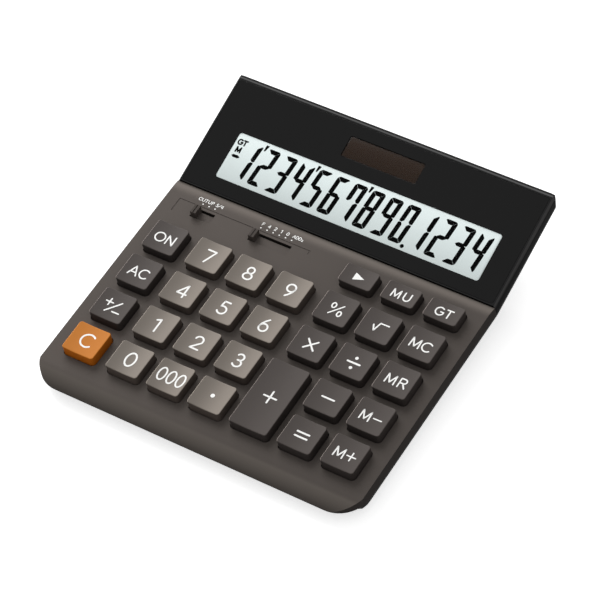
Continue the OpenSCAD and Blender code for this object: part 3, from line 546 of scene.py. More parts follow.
# skin between rings of equal length, each end closed by strips from front to rear
def ringSkin(rings):
    count = len(rings[0])
    points = [p for ring in rings for p in ring]
    faces = []
    for r in range(len(rings) - 1):
        for i in range(count):
            j = (i + 1) % count
            faces.append((r * count + i, r * count + j, (r + 1) * count + j, (r + 1) * count + i))
    for base in (0, (len(rings) - 1) * count):
        for i in range(count // 2 - 1):
            faces.append((base + i, base + i + 1, base + count - 2 - i, base + count - 1 - i))
    return points, faces


# how edges are eased: m to merge, then degrees that still count as flat, sharp or smooth
edgeRules = {"merge": 2e-6, "flat": 0.6, "sharp": 35.0, "smooth": 40, "steps": 3}


# a copy of a CAD solid with its coplanar faces joined and its sharp edges rounded
def softened(node, name, width):
    mesh = nodes[node].data.copy()
    mesh.name = name
    mesh.materials.clear()
    work = bmesh.new()
    work.from_mesh(mesh)
    bmesh.ops.remove_doubles(work, verts=work.verts, dist=edgeRules["merge"])
    flat, sharp = math.radians(edgeRules["flat"]), math.radians(edgeRules["sharp"])
    bmesh.ops.dissolve_limit(work, angle_limit=flat, verts=work.verts, edges=work.edges)
    edges = [e for e in work.edges if len(e.link_faces) == 2 and e.calc_face_angle() > sharp]
    bmesh.ops.bevel(
        work, geom=edges, offset=width * mm, segments=edgeRules["steps"], profile=0.5,
        affect="EDGES", clamp_overlap=True,
    )
    work.to_mesh(mesh)
    work.free()
    shadeByAngle(mesh, edgeRules["smooth"])
    obj = bpy.data.objects.new(name, mesh)
    scene.collection.objects.link(obj)
    return obj


keyForm = {
    "fillet": 0.28,  # mm, round edge of the top
    "dish": 0.36,  # mm, how far the top is hollowed across its width
    "across": 14,  # points along the front and rear edges
    "footCorner": 1.7,  # mm
    "topCorner": 1.2,  # mm
    "flange": 1.1,  # mm
    "lean": (0.05, 0.22),  # mm, how far the walls lean in towards the top, across and along
    "shift": (-0.36, 0.2),  # mm, how far the top is moved
    "height": 3.8,  # mm above the deck
    "flangeTop": -1.9,
    "flangeBottom": -2.7,
    "wall": 1.3,  # mm, the cap is open below
    "ceiling": 2.2,
    "innerCorner": 0.6,
    "flangeCorner": 0.4,
    "skin": 0.02,  # mm, how far the look lies inside the solid
    "belowFillet": 0.06,
    "topMargin": 0.07,
    "topCornerLess": 0.04,
    "arcSteps": 4,
}
numberKeys = ["key_point", "key_000"] + ["key_%d" % i for i in range(10)]


# how deep the top is hollowed at x
def dishDrop(x, middle, halfWidth):
    share = min(1.0, abs(x - middle) / halfWidth)
    return keyForm["dish"] * (1 - share * share)


# outlines of a cap from inside its top, round the flange and up to the top, and its place
def keyRings(low, high):
    form = keyForm
    x, y = (low.x + high.x) / 2, (low.y + high.y) / 2
    w = (high.x - low.x) / 2 - form["flange"]
    d = (high.y - low.y) / 2 - form["flange"]
    rings = []

    def ring(z, inset, radius, dished):
        climb = max(0.0, z) / form["height"]
        insetX, insetY = (inset + climb * lean for lean in form["lean"])
        middleX, middleY = (m + climb * s for m, s in zip((x, y), form["shift"]))
        outline = roundedRing(middleX, middleY, w - insetX, d - insetY, radius, 6, form["across"])
        rings.append([(p[0], p[1], z - dished * dishDrop(p[0], x, w)) for p in outline])

    skin, fillet, corner = form["skin"], form["fillet"], form["topCorner"]
    out = -form["flange"] + skin
    ring(form["ceiling"], form["wall"], form["innerCorner"], 0)
    ring(form["flangeBottom"], form["wall"], form["innerCorner"], 0)
    ring(form["flangeBottom"], out, form["flangeCorner"], 0)
    ring(form["flangeTop"], out, form["flangeCorner"], 0)
    ring(form["flangeTop"], skin, form["footCorner"], 0)
    ring(0, skin, form["footCorner"], 0)
    start = form["height"] - fillet
    ring(start - form["belowFillet"], skin, corner, 1)
    for i in range(form["arcSteps"] + 1):
        a = math.radians(90 * i / form["arcSteps"])
        shrink = fillet * (1 - math.cos(a))
        ring(start + fillet * math.sin(a), skin + shrink, corner - shrink, 1)
    ring(form["height"], form["topMargin"] + fillet, corner - fillet - form["topCornerLess"], 1)
    return rings, (x, y, w)


keyPlaces = {}
for node in sorted(n for n in nodes if n.startswith("key_") and n != "key_mat"):
    rings, place = keyRings(*localBox(node, deckMatrix))
    cap = makeObject(node + "_cap_look", *ringSkin(rings), deckMatrix, 42)
    kind = "orange" if node == "key_c" else "number" if node in numberKeys else "function"
    keyPlaces[node] = place
    finishPiece(cap, kind + "_key_plastic", node + "_cap", [node])
print("keys built", len(keyPlaces))


# points on part of an ellipse, angles in degrees
def arcPoints(x, y, rx, ry, start, end, steps=20):
    angles = [math.radians(start + (end - start) * i / steps) for i in range(steps + 1)]
    return [(x + rx * math.cos(a), y + ry * math.sin(a)) for a in angles]


# a smooth bend from a to c, pulled towards b
def bend(a, b, c, steps=12):
    points = []
    for i in range(steps + 1):
        t = i / steps
        u = 1 - t
        points.append(tuple(u * u * a[k] + 2 * u * t * b[k] + t * t * c[k] for k in (0, 1)))
    return points


# how paint lies on a surface: mm above it and below it, and steps in a round end and a circle
film = {"lift": 0.025, "sink": 0.02, "endSteps": 6, "circleSteps": 24}


# a ribbon of paint along a line, with round ends, as outline points and cross pieces
def strokeSolid(line, width, surface, lift=film["lift"], closed=False):
    half = width / 2
    count = len(line)
    lefts, rights = [], []
    for i, p in enumerate(line):
        before = line[i - 1] if (i or closed) else p
        after = line[(i + 1) % count] if (i < count - 1 or closed) else p
        dx, dy = after[0] - before[0], after[1] - before[1]
        size = math.hypot(dx, dy)
        nx, ny = -dy / size * half, dx / size * half
        lefts.append((p[0] + nx, p[1] + ny))
        rights.append((p[0] - nx, p[1] - ny))
    rows = list(zip(lefts, line, rights))
    points, faces = [], []

    def lay(row, offset):
        start = len(points)
        for q in row:
            points.append((q[0], q[1], surface(q[0], q[1]) + offset))
        return start

    steps, sink = film["endSteps"], film["sink"]
    if closed:
        tops = [lay(r, lift) for r in rows]
        bottoms = [lay(r, -sink) for r in rows]
        for i in range(count):
            j = (i + 1) % count
            for a, b in ((0, 1), (1, 2)):
                faces.append((tops[i] + a, tops[j] + a, tops[j] + b, tops[i] + b))
                faces.append((bottoms[i] + b, bottoms[j] + b, bottoms[j] + a, bottoms[i] + a))
            faces.append((tops[i], bottoms[i], bottoms[j], tops[j]))
            faces.append((tops[i] + 2, tops[j] + 2, bottoms[j] + 2, bottoms[i] + 2))
        return points, faces
    outline = list(lefts)
    end, before = line[-1], line[-2]
    turn = math.atan2(end[1] - before[1], end[0] - before[0])
    for i in range(1, steps):
        a = turn + math.pi / 2 - math.pi * i / steps
        outline.append((end[0] + half * math.cos(a), end[1] + half * math.sin(a)))
    outline += list(reversed(rights))
    first, after = line[0], line[1]
    turn = math.atan2(first[1] - after[1], first[0] - after[0])
    for i in range(1, steps):
        a = turn + math.pi / 2 - math.pi * i / steps
        outline.append((first[0] + half * math.cos(a), first[1] + half * math.sin(a)))
    n = len(outline)
    top = lay(outline, lift)
    bottom = lay(outline, -sink)
    topLine = lay(line, lift)
    bottomLine = lay(line, -sink)
    for base, mid, flip in ((top, topLine, False), (bottom, bottomLine, True)):
        found = []
        for i in range(count - 1):
            found.append((base + i, base + i + 1, mid + i + 1, mid + i))
            r = base + count + steps - 1
            found.append((r + count - 1 - i, mid + i, mid + i + 1, r + count - 2 - i))
        for i in range(steps):
            found.append((base + count - 1 + i, base + count + i, mid + count - 1))
            k = base + 2 * count + steps - 2 + i
            found.append((k, base + (2 * count + steps - 1 + i) % n, mid))
        faces += [tuple(reversed(f)) if flip else f for f in found]
    for i in range(n):
        j = (i + 1) % n
        faces.append((top + i, bottom + i, bottom + j, top + j))
    return points, faces


# a filled outline as a thin plate
def plateSolid(outline, surface, lift, sink=film["sink"]):
    n = len(outline)
    cx = sum(p[0] for p in outline) / n
    cy = sum(p[1] for p in outline) / n
    points = [(p[0], p[1], surface(*p) + lift) for p in outline]
    points += [(p[0], p[1], surface(*p) - sink) for p in outline]
    points += [(cx, cy, surface(cx, cy) + lift), (cx, cy, surface(cx, cy) - sink)]
    faces = []
    for i in range(n):
        j = (i + 1) % n
        faces.append((i, j, 2 * n))
        faces.append((n + j, n + i, 2 * n + 1))
        faces.append((i, n + i, n + j, j))
    return points, faces


# several solids as one list of points and one of faces
def gathered(solids):
    points, faces = [], []
    for somePoints, someFaces in solids:
        start = len(points)
        points += somePoints
        faces += [tuple(start + i for i in f) for f in someFaces]
    return points, faces


# each sign as lines in a box one unit high, centred on x = 0; "loop" marks a closed line
signs = {
    "0": [("loop", arcPoints(0, 0.5, 0.325, 0.5, 0, 360, 36)[:-1])],
    "1": [[(-0.22, 0.88), (0.06, 1)], [(0.06, 1), (0.06, 0)]],
    "2": [arcPoints(0, 0.70, 0.29, 0.30, 165, -28) + [(-0.31, 0)], [(-0.31, 0), (0.31, 0)]],
    "3": [
        arcPoints(-0.01, 0.755, 0.25, 0.245, 150, -80),
        arcPoints(-0.01, 0.26, 0.30, 0.26, 85, -150),
        [(-0.09, 0.515), (0.04, 0.515)],
    ],
    "4": [[(0.20, 1), (-0.33, 0.26)], [(-0.33, 0.26), (0.36, 0.26)], [(0.20, 1), (0.20, 0)]],
    "5": [
        [(-0.16, 1), (0.26, 1)],
        [(-0.16, 1), (-0.21, 0.57)],
        arcPoints(-0.03, 0.31, 0.315, 0.31, 124, -150),
    ],
    "6": [
        ("loop", arcPoints(0, 0.30, 0.30, 0.30, 0, 360, 32)[:-1]),
        bend((0.12, 1), (-0.25, 0.66), (-0.30, 0.30)),
    ],
    "7": [[(-0.32, 1), (0.32, 1)], [(0.32, 1), (-0.12, 0)]],
    "8": [
        ("loop", arcPoints(0, 0.755, 0.24, 0.245, 0, 360, 30)[:-1]),
        ("loop", arcPoints(0, 0.255, 0.31, 0.255, 0, 360, 32)[:-1]),
    ],
    "9": [
        ("loop", arcPoints(0, 0.70, 0.30, 0.30, 0, 360, 32)[:-1]),
        bend((-0.12, 0), (0.25, 0.34), (0.30, 0.70)),
    ],
    "slim0": [("loop", arcPoints(0, 0.5, 0.262, 0.5, 0, 360, 36)[:-1])],
    "O": [("loop", arcPoints(0, 0.5, 0.5, 0.5, 0, 360, 40)[:-1])],
    "N": [[(-0.36, 0), (-0.36, 1)], [(-0.36, 1), (0.36, 0)], [(0.36, 0), (0.36, 1)]],
    "A": [[(-0.42, 0), (0, 1)], [(0, 1), (0.42, 0)], [(-0.28, 0.33), (0.28, 0.33)]],
    "C": [arcPoints(0.07, 0.5, 0.5, 0.5, 47, 313, 30)],
    "G": [arcPoints(0.0, 0.5, 0.47, 0.5, 50, 356, 30), [(0.47, 0.47), (0.12, 0.47)]],
    "T": [[(-0.36, 1), (0.36, 1)], [(0, 1), (0, 0)]],
    "U": [
        [
            (-0.38, 1), (-0.38, 0.38),
            *arcPoints(0, 0.38, 0.38, 0.38, 188, 352, 16),
            (0.38, 0.38), (0.38, 1),
        ],
    ],
    "P": [
        [(-0.3, 0), (-0.3, 1)],
        [
            (-0.3, 1), (0.05, 1),
            *arcPoints(0.05, 0.74, 0.26, 0.26, 84, -84, 12),
            (0.05, 0.48), (-0.3, 0.48),
        ],
    ],
    "R": [
        [(-0.34, 0), (-0.34, 1)],
        [
            (-0.34, 1), (0.04, 1),
            *arcPoints(0.04, 0.75, 0.26, 0.25, 84, -84, 12),
            (0.04, 0.5), (-0.34, 0.5),
        ],
        [(0.0, 0.5), (0.36, 0)],
    ],
    "D": [
        [(-0.32, 0), (-0.32, 1)],
        [
            (-0.32, 1), (-0.05, 1),
            *arcPoints(-0.08, 0.5, 0.42, 0.5, 84, -84, 14),
            (-0.05, 0), (-0.32, 0),
        ],
    ],
    "F": [[(-0.26, 0), (-0.26, 1)], [(-0.26, 1), (0.28, 1)], [(-0.26, 0.52), (0.2, 0.52)]],
    "M": [
        [(-0.45, 0), (-0.41, 1)],
        [(-0.41, 1), (0, 0.1)],
        [(0, 0.1), (0.41, 1)],
        [(0.41, 1), (0.45, 0)],
    ],
    "plus": [[(-0.5, 0.5), (0.5, 0.5)], [(0, 0), (0, 1)]],
    "minus": [[(-0.5, 0.5), (0.5, 0.5)]],
    "times": [[(-0.5, 0), (0.5, 1)], [(-0.5, 1), (0.5, 0)]],
    "slash": [[(-0.42, 0), (0.42, 1)]],
    "root": [[(-0.55, 0.62), (-0.26, 0)], [(-0.26, 0), (0, 1)], [(0, 1), (0.92, 1)]],
}


# extra points on long straight runs, so that the paint follows a hollow
def resampled(line, step=0.8):
    found = [line[0]]
    for a, b in zip(line, line[1:]):
        count = max(1, math.ceil(math.dist(a, b) / step))
        for i in range(1, count + 1):
            found.append(tuple(a[k] + (b[k] - a[k]) * i / count for k in (0, 1)))
    return found


# one sign, its middle at x and y
def signSolids(sign, x, y, height, width, surface, lift=film["lift"]):
    solids = []
    for part in signs[sign]:
        closed = part[0] == "loop"
        outline = part[1] if closed else part
        line = [(x + p[0] * height, y + (p[1] - 0.5) * height) for p in outline]
        if not closed:
            line = resampled(line)
        solids.append(strokeSolid(line, width, surface, lift, closed))
    return solids


def ovalPoints(x, y, rx, ry):
    return arcPoints(x, y, rx, ry, 0, 360, film["circleSteps"])[:-1]


def dotSolid(x, y, radius, surface, lift=film["lift"]):
    return plateSolid(ovalPoints(x, y, radius, radius), surface, lift)


def barSolid(x, y, halfLength, width, surface):
    return strokeSolid(resampled([(x - halfLength, y), (x + halfLength, y)]), width, surface)


def ovalSolid(x, y, rx, ry, width, surface):
    return strokeSolid(ovalPoints(x, y, rx, ry), width, surface, closed=True)


# an arrow head pointing along x, in slices that follow the hollow
def arrowSolid(x, y, length, halfHeight, surface, count=8, tip=0.03):
    points, faces = [], []
    for i in range(count + 1):
        px = x + length * (i / count - 0.5)
        reach = max(tip, halfHeight * (1 - i / count))
        for side in (-1, 1):
            for offset in (film["lift"], -film["sink"]):
                points.append((px, y + side * reach, surface(px, y) + offset))
    for i in range(count):
        a, b = 4 * i, 4 * i + 4
        faces += [(a, b, b + 2, a + 2), (a + 1, a + 3, b + 3, b + 1)]
        faces += [(a, a + 1, b + 1, b), (a + 2, b + 2, b + 3, a + 3)]
    end = 4 * count
    faces += [(0, 2, 3, 1), (end, end + 1, end + 3, end + 2)]
    return points, faces


legend = {
    "digitHeight": 6.12,  # mm
    "digitStroke": 0.84,
    "letterHeight": 4.25,
    "letterStroke": 0.68,
    "signStroke": 0.82,
    "smallHeight": 3.7,
    "smallStroke": 0.66,
    "thinStroke": 0.62,
    "weight": 0.9,  # share of the given strokes that is painted
}
digit, digitPen = legend["digitHeight"], legend["digitStroke"]
letter, letterPen = legend["letterHeight"], legend["letterStroke"]
small, smallPen = legend["smallHeight"], legend["smallStroke"]
signPen, thinPen = legend["signStroke"], legend["thinStroke"]

# sign, offset from the middle of the key, height and stroke
legends = {
    "key_c": [("C", -0.15, 0.2, 6.1, digitPen)],
    "key_0": [("0", 0, 0.2, 6.45, digitPen)],
    "key_000": [("slim0", k * 4.3, 0.2, 5.95, 0.76) for k in (-1, 0, 1)],
    "key_sign": [
        ("plus", -2.65, 1.35, 3.2, letterPen),
        ("slash", 0.05, -0.3, 5.9, 0.72),
        ("minus", 2.35, -2.5, 3.2, letterPen),
    ],
    "key_ac": [("A", -2.65, -0.2, 4.5, letterPen), ("C", 2.0, -0.2, 4.35, letterPen)],
    "key_on": [("O", -2.6, -0.15, 4.35, letterPen), ("N", 2.4, -0.15, 4.35, letterPen)],
    "key_plus": [("plus", 0, 0.05, 5.6, signPen)],
    "key_times": [("times", -0.15, -0.15, 4.5, signPen)],
    "key_percent": [("slash", -0.1, -0.15, 5.4, thinPen)],
    "key_minus": [("minus", -0.1, 0.1, 5.4, signPen)],
    "key_root": [("root", -0.25, -0.2, 4.15, letterPen)],
    "key_m_plus": [("M", -2.6, -0.15, letter, letterPen), ("plus", 2.5, -0.1, 3.75, thinPen)],
    "key_m_minus": [("M", -2.5, -0.15, letter, letterPen), ("minus", 2.65, -0.1, 3.4, thinPen)],
    "key_mr": [("M", -2.5, -0.15, letter, letterPen), ("R", 2.7, -0.15, letter, letterPen)],
    "key_mc": [("M", -2.7, -0.2, letter, letterPen), ("C", 2.2, -0.2, letter, letterPen)],
    "key_mu": [("M", -2.3, -0.15, small, smallPen), ("U", 2.6, -0.15, small, smallPen)],
    "key_gt": [("G", -1.95, -0.15, 3.75, smallPen), ("T", 2.05, -0.15, 3.75, smallPen)],
}
for i in range(1, 10):
    legends["key_%d" % i] = [(str(i), 0.05, -0.1, digit, digitPen)]

# other marks: offset from the middle of the key, then their sizes
marks = {
    "key_point": [(dotSolid, 0, 0.2, 0.9)],
    "key_equals": [(barSolid, -0.1, 1.05, 2.65, 0.78), (barSolid, -0.1, -1.05, 2.65, 0.78)],
    "key_divide": [(barSolid, 0, -0.15, 2.7, 0.82), (dotSolid, 0, 2.3, 0.72), (dotSolid, 0, -2.6, 0.72)],
    "key_percent": [
        (ovalSolid, -1.95, 1.45, 0.85, 1.2, 0.6),
        (ovalSolid, 1.95, -1.55, 0.85, 1.2, 0.6),
    ],
    "key_shift": [(arrowSolid, -0.1, -0.05, 4.5, 1.85)],
}

for node, (x, y, w) in keyPlaces.items():

    def surface(px, py, x=x, w=w):
        return keyForm["height"] - dishDrop(px, x, w)

    solids = []
    for sign, dx, dy, height, pen in legends.get(node, []):
        solids += signSolids(sign, x + dx, y + dy, height, pen * legend["weight"], surface)
    for drawn, dx, dy, *sizes in marks.get(node, []):
        solids.append(drawn(x + dx, y + dy, *sizes, surface))
    paint = makeObject(node + "_legend", *gathered(solids), deckMatrix, 40)
    finishPiece(paint, "legend_paint", node + "_cap")
print("legends built")


# the number display, in mm on its sloping surface
glass = {
    "top": -0.22,  # how deep the pale face lies
    "ink": 0.03,  # how high the ink stands above the pale face
    "inkSink": 0.01,
    "digits": "12345678901234",
    "pointAfter": 10,
    "marksAfter": (1, 4, 7),
    "width": 6.0,
    "bottom": 9.41,
    "middle": 18.6,
    "ceiling": 26.97,
    "stroke": 2.0,
    "bar": 1.85,
    "corner": 1.3,
    "gap": 0.1,
    "barTip": 0.75,  # how far the middle bar keeps from the sides
    "sideTip": ((0, 0.55), (0.22, 0.12), (1.24, 0.05)),  # the cut end of a side, from outside to inside
    "firstX": -55.47,
    "pitch": 8.38,
    "lean": 0.0915,
    "point": (-0.95, 9.15, 0.87),  # its place ahead of a digit, its height and radius
    "markX": -46.7,  # the first place of a mark between thousands
    "mark": ((-0.55, 27.9), (0.9, 27.9), (0.15, 25.4), (-0.1, 25.05), (-0.6, 25.1)),
    "signs": (("G", -58.55, 25.1, 2.2), ("T", -56.35, 25.1, 2.2), ("M", -57.65, 21.6, 2.25)),
    "signStroke": 0.68,
    "minus": (
        (-59.4, 18.5), (-58.45, 19.15), (-56.35, 19.15), (-55.35, 18.5), (-56.35, 17.8), (-58.45, 17.8)
    ),
}
segmentsOf = {
    "0": "abcdef", "1": "bc", "2": "abged", "3": "abgcd", "4": "fgbc",
    "5": "afgcd", "6": "afgedc", "7": "fabc", "8": "abcdefg", "9": "abcdfg",
}


def glassLevel(x, y):
    return glass["top"]


# outlines of the seven segments in an upright box, its lower left corner at 0, 0
def segmentOutlines():
    g = glass
    w, t, r, gap = g["width"], g["stroke"], g["corner"], g["gap"]
    h = g["ceiling"] - g["bottom"]
    mid = g["middle"] - g["bottom"]
    bar = g["bar"] / 2

    # half of the round corner, from its middle along the top, or down the side
    def halfCorner(way):
        angles = [math.pi / 4 * (1 + way * i / 4) for i in range(5)]
        return [(r - r * math.cos(a), r - r * math.sin(a)) for a in angles]

    def top(height, sign):
        arc = halfCorner(1)
        left = [(x + gap / 2, height - sign * y) for x, y in arc]
        right = [(w - x - gap / 2, height - sign * y) for x, y in reversed(arc)]
        inner = height - sign * t
        return left + right + [(w - t - gap / 2, inner), (t + gap / 2, inner)]

    def side(height, sign):
        outer = [(x, height - sign * (y + gap / 2)) for x, y in halfCorner(-1)]
        near = mid + sign * (gap / 2)
        end = [(x, near + sign * y) for x, y in g["sideTip"]]
        last = g["sideTip"][-1][1]
        return outer + end + [(t, near + sign * (bar + last)), (t, height - sign * (t + gap / 2))]

    tip, nook = g["barTip"] + gap, t + gap * 0.3
    middle = [
        (tip, mid), (nook, mid + bar), (w - nook, mid + bar),
        (w - tip, mid), (w - nook, mid - bar), (nook, mid - bar),
    ]

    def flipped(outline):
        return [(w - x, y) for x, y in outline]

    return {
        "a": top(h, 1), "d": top(0, -1), "g": middle,
        "f": side(h, 1), "b": flipped(side(h, 1)),
        "e": side(0, -1), "c": flipped(side(0, -1)),
    }


outlines = segmentOutlines()


def slanted(outline, x):
    return [(x + p[0] + glass["lean"] * p[1], glass["bottom"] + p[1]) for p in outline]


def inkPlate(outline):
    return plateSolid(outline, glassLevel, glass["ink"], glass["inkSink"])


ink = []
for place, character in enumerate(glass["digits"]):
    x = glass["firstX"] + glass["pitch"] * place
    for name in segmentsOf[character]:
        ink.append(inkPlate(slanted(outlines[name], x)))
ahead, y, radius = glass["point"]
x = glass["firstX"] + glass["pitch"] * glass["pointAfter"] + ahead
ink.append(dotSolid(x, y, radius, glassLevel, glass["ink"]))
for count in glass["marksAfter"]:
    x = glass["markX"] + glass["pitch"] * (count - 1)
    ink.append(inkPlate([(x + dx, y) for dx, y in glass["mark"]]))
for sign, x, y, height in glass["signs"]:
    ink += signSolids(sign, x, y, height, glass["signStroke"], glassLevel, glass["ink"])
ink.append(inkPlate(glass["minus"]))
finishPiece(makeObject("lcd_digits", *gathered(ink), screenMatrix, 40), "segment_ink", "case")

# plates in the display: the window whose outline they fill, top, bottom, corner radius and edge in mm
plates = {
    "lcd_window_look": ("lcd_window", -0.02, -0.16, 1.2, 0.06),
    "lcd_face": ("lcd_window", glass["top"], -0.9, 1.2, 0.02),
    "solar_window_look": ("solar_window", -0.3, -0.9, 0.8, 0.12),
}


# a thin plate in the display, with rounded edges
def makePlate(name):
    node, top, bottom, radius, edge = plates[name]
    low, high = localBox(node, screenMatrix)
    x, y = (low.x + high.x) / 2, (low.y + high.y) / 2
    w, d = (high.x - low.x) / 2, (high.y - low.y) / 2
    rings = []
    for z, inset in ((bottom, 0), (top - edge, 0), (top - edge * 0.3, edge * 0.3), (top, edge)):
        outline = roundedRing(x, y, w - inset, d - inset, radius - inset)
        rings.append([(p[0], p[1], z) for p in outline])
    return makeObject(name, *ringSkin(rings), screenMatrix, 30)


finishPiece(makePlate("lcd_window_look"), "clear_window", "case", ["lcd_window"])
finishPiece(makePlate("lcd_face"), "lcd_glass", "case")  # the pale face lies close under the window
finishPiece(makePlate("solar_window_look"), "tinted_window", "case", ["solar_window"])
print("display built")

# case pieces follow their solids, with the edges eased: width in mm
easing = {
    "upper_case": ("deck_shell", 0.4, "deck_plastic"),
    "lower_case": ("lower_shell", 0.25, "base_plastic"),
    "display_bezel": ("bezel_shell", 0.2, "bezel_plastic"),
    "display_panel": ("panel_look", 0.12, "panel_plastic"),
    "battery_cover": ("battery_cover_look", 0.15, "base_plastic"),
    "rubber_feet": ("feet_look", 0.3, "foot_rubber"),
    "rounding_slider": ("rounding_knob", 0.15, "slider_plastic"),
    "decimal_slider": ("decimal_knob", 0.15, "slider_plastic"),
}
bodyOf = {n: body for body, names in frame["record"]["behaviour"]["bodies"].items() for n in names}
for node, (name, width, slot) in easing.items():
    piece = softened(node, name, width)
    piece.modifiers.new("shading", "WEIGHTED_NORMAL").keep_sharp = True
    finishPiece(piece, slot, bodyOf[node], [node])
# the solids that show as they are take a material as well
for row in frame["record"]["subparts"]:
    kept = nodes.get(row["node"])
    if kept and not kept.hide_render:
        kept.data.materials.clear()
        kept.data.materials.append(materials[row["material_slot"]])
print("case built")

# printing beside the switches, in mm on the deck
printing = {
    "height": 1.45,  # from line middle to line middle
    "pen": 0.27,
    "lift": 0.02,
    "baseline": 104.75,
    "dotLine": 102.7,
    "dotRadius": 0.31,
    "roundingX": -58.1,
    "decimalX": -29.95,
    "pitch": 2.95,
    "roundingWords": (("CUT", -60.55, 1.5), ("UP", -56.0, 1.5), ("5/4", -52.4, 1.2)),
    "decimalPlaces": "F4210",
    "decimalWord": ("ADD", -15.1, 1.35),
    "smallTwo": ("2", -11.2, 104.35, 0.85, 0.24),
}


def deckLevel(x, y):
    return 0.0


# a word from x on, its letters a spacing apart
def printed(text, x, spacing):
    p = printing
    solids = []
    for character in text:
        sign = "slash" if character == "/" else character
        solids += signSolids(sign, x, p["baseline"], p["height"], p["pen"], deckLevel, p["lift"])
        x += spacing
    return solids


def printedRow(start, count):
    p = printing
    places = [start + i * p["pitch"] for i in range(count)]
    return [dotSolid(x, p["dotLine"], p["dotRadius"], deckLevel, p["lift"]) for x in places]


labels = []
for text, x, spacing in printing["roundingWords"]:
    labels += printed(text, x, spacing)
for i, character in enumerate(printing["decimalPlaces"]):
    labels += printed(character, printing["decimalX"] + i * printing["pitch"], 0)
labels += printed(*printing["decimalWord"])
labels += signSolids(*printing["smallTwo"], deckLevel, printing["lift"])
labels += printedRow(printing["roundingX"], 3) + printedRow(printing["decimalX"], 6)
finishPiece(makeObject("switch_printing", *gathered(labels), deckMatrix, 40), "legend_paint", "case")
print("printing built")

# a floor that makes the engraved line shallower, in mm on the deck
groove = {
    "left": -68.6,
    "right": -5.3,
    "along": 100.95,
    "width": 0.46,
    "leg": 6.4,
    "hook": 1.5,
    "top": -0.15,
    "bottom": -0.29,
    "play": 0.02,  # between the strips and the walls of the line
}


def grooveStrip(x0, y0, x1, y1):
    outline = [(x0, y0), (x1, y0), (x1, y1), (x0, y1)]
    return plateSolid(outline, deckLevel, groove["top"], -groove["bottom"])


def grooveFloor():
    play, width = groove["play"], groove["width"]
    left, right = groove["left"] + play, groove["right"] - play
    front = groove["along"] + play
    leg, hook = groove["along"] - groove["leg"], groove["along"] - groove["hook"]
    strips = [
        grooveStrip(left, front, right, front + width),
        grooveStrip(left, leg + play, left + width, front),
        grooveStrip(right - width, hook + play, right, front),
    ]
    return makeObject("groove_floor", *gathered(strips), deckMatrix, 30)


finishPiece(grooveFloor(), "deck_plastic", "case")
print("groove built")

# table, light and camera
studio = {
    "tableColour": (0.8, 0.8, 0.8, 1.0),
    "tableGlow": 0.64,  # what the table adds for the camera, so that it reads as white
    "tableSize": 6.0,  # m
    "tableCells": 24,
    "keyPower": 50.0,  # W
    "keySize": 1.5,  # m
    "keyDirection": (-0.70, 0.62, 0.52),
    "keyDistance": 2.0,  # m
    "keyTarget": (0, 0, 0.01),
    "fill": 0.56,
}


# 1 for rays from the camera, a mirror or a window, otherwise 0
def seenMask(graph):
    path = graph.node("ShaderNodeLightPath").outputs
    camera, mirror, window = (
        Value(graph, path[k]) for k in ("Is Camera Ray", "Is Glossy Ray", "Is Transmission Ray")
    )
    return camera + mirror + window


def makeTable():
    size, count = studio["tableSize"], studio["tableCells"]
    points, faces = [], []
    for j in range(count + 1):
        for i in range(count + 1):
            points.append(((i / count - 0.5) * size, (j / count - 0.5) * size, 0.0))
    for j in range(count):
        for i in range(count):
            a = j * (count + 1) + i
            faces.append((a, a + 1, a + count + 2, a + count + 1))
    mesh = bpy.data.meshes.new("table")
    mesh.from_pydata(points, [], faces)
    table = bpy.data.objects.new("table", mesh)
    scene.collection.objects.link(table)
    graph = newSurface("tablePaper")
    slow = graph.noise(3.0)
    tone = graph.blendColours(slow, studio["tableColour"], shifted(studio["tableColour"], 0.02))
    glow = studio["tableGlow"]
    seen = graph.blendColours(seenMask(graph), (0, 0, 0, 1), (glow, glow, glow, 1))
    table.data.materials.append(
        graph.shade(
            {
                "Base Color": tone,
                "Roughness": 0.9,
                "Specular IOR Level": 0.2,
                "Emission Color": seen,
                "Emission Strength": 1.0,
            }
        )
    )
    return table


table = makeTable()


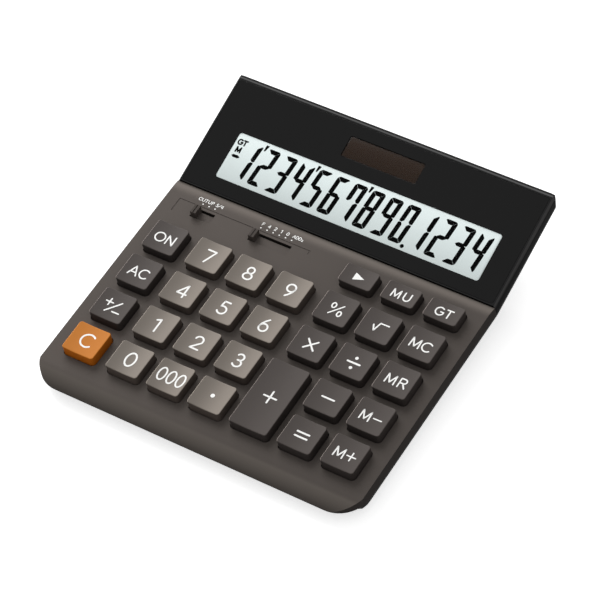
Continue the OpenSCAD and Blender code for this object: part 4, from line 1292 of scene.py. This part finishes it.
def makeKeyLamp():
    data = bpy.data.lights.new("keyLamp", "AREA")
    data.shape = "RECTANGLE"
    data.size = studio["keySize"]
    data.size_y = studio["keySize"]
    data.energy = studio["keyPower"]
    lamp = bpy.data.objects.new("keyLamp", data)
    way = Vector(studio["keyDirection"]).normalized()
    lamp.location = Vector(studio["keyTarget"]) + way * studio["keyDistance"]
    lamp.rotation_euler = way.to_track_quat("Z", "Y").to_euler()
    scene.collection.objects.link(lamp)


makeKeyLamp()


# even light on the object, and white for whatever sees the world itself
def makeWorld():
    world = bpy.data.worlds.new("studio")
    scene.world = world
    graph = Graph(world, "ShaderNodeOutputWorld")
    white = (1, 1, 1, 1)
    fill = graph.node("ShaderNodeBackground", None, {"Color": white, "Strength": studio["fill"]})
    bright = graph.node("ShaderNodeBackground", None, {"Color": white, "Strength": 1.0})
    choice = graph.node(
        "ShaderNodeMixShader",
        None,
        {0: seenMask(graph), 1: fill.outputs[0], 2: bright.outputs[0]},
    )
    graph.feed(graph.output.inputs["Surface"], choice.outputs[0])


makeWorld()

# camera axes on the deck: right, down and forward
view = {
    "right": (0.84354128, 0.52188218, -0.12679552),
    "down": (0.35112258, -0.71454686, -0.6050915),
    "forward": (-0.40638781, 0.46589889, -0.78599439),
    "place": (0.4745, -0.50046, 0.8984),  # m from the middle of the case's front edge
    "lens": 175.7,
    "sensor": 36.0,
    "clipStart": 0.05,
}


def makeCamera():
    turn = Matrix.Rotation(deckTurn, 3, "X")
    right = turn @ Vector(view["right"])
    up = -(turn @ Vector(view["down"]))
    back = -(turn @ Vector(view["forward"]))
    data = bpy.data.cameras.new("camera")
    data.lens = view["lens"]
    data.sensor_width = view["sensor"]
    data.clip_start = view["clipStart"]
    camera = bpy.data.objects.new("camera", data)
    matrix = Matrix((right, up, back)).transposed().to_4x4()
    matrix.translation = Vector(view["place"]) + Vector((0, case["frontY"] * mm, 0))
    camera.matrix_world = matrix
    scene.collection.objects.link(camera)
    scene.camera = camera


makeCamera()
scene.view_settings.view_transform = "Standard"
print("stage set")
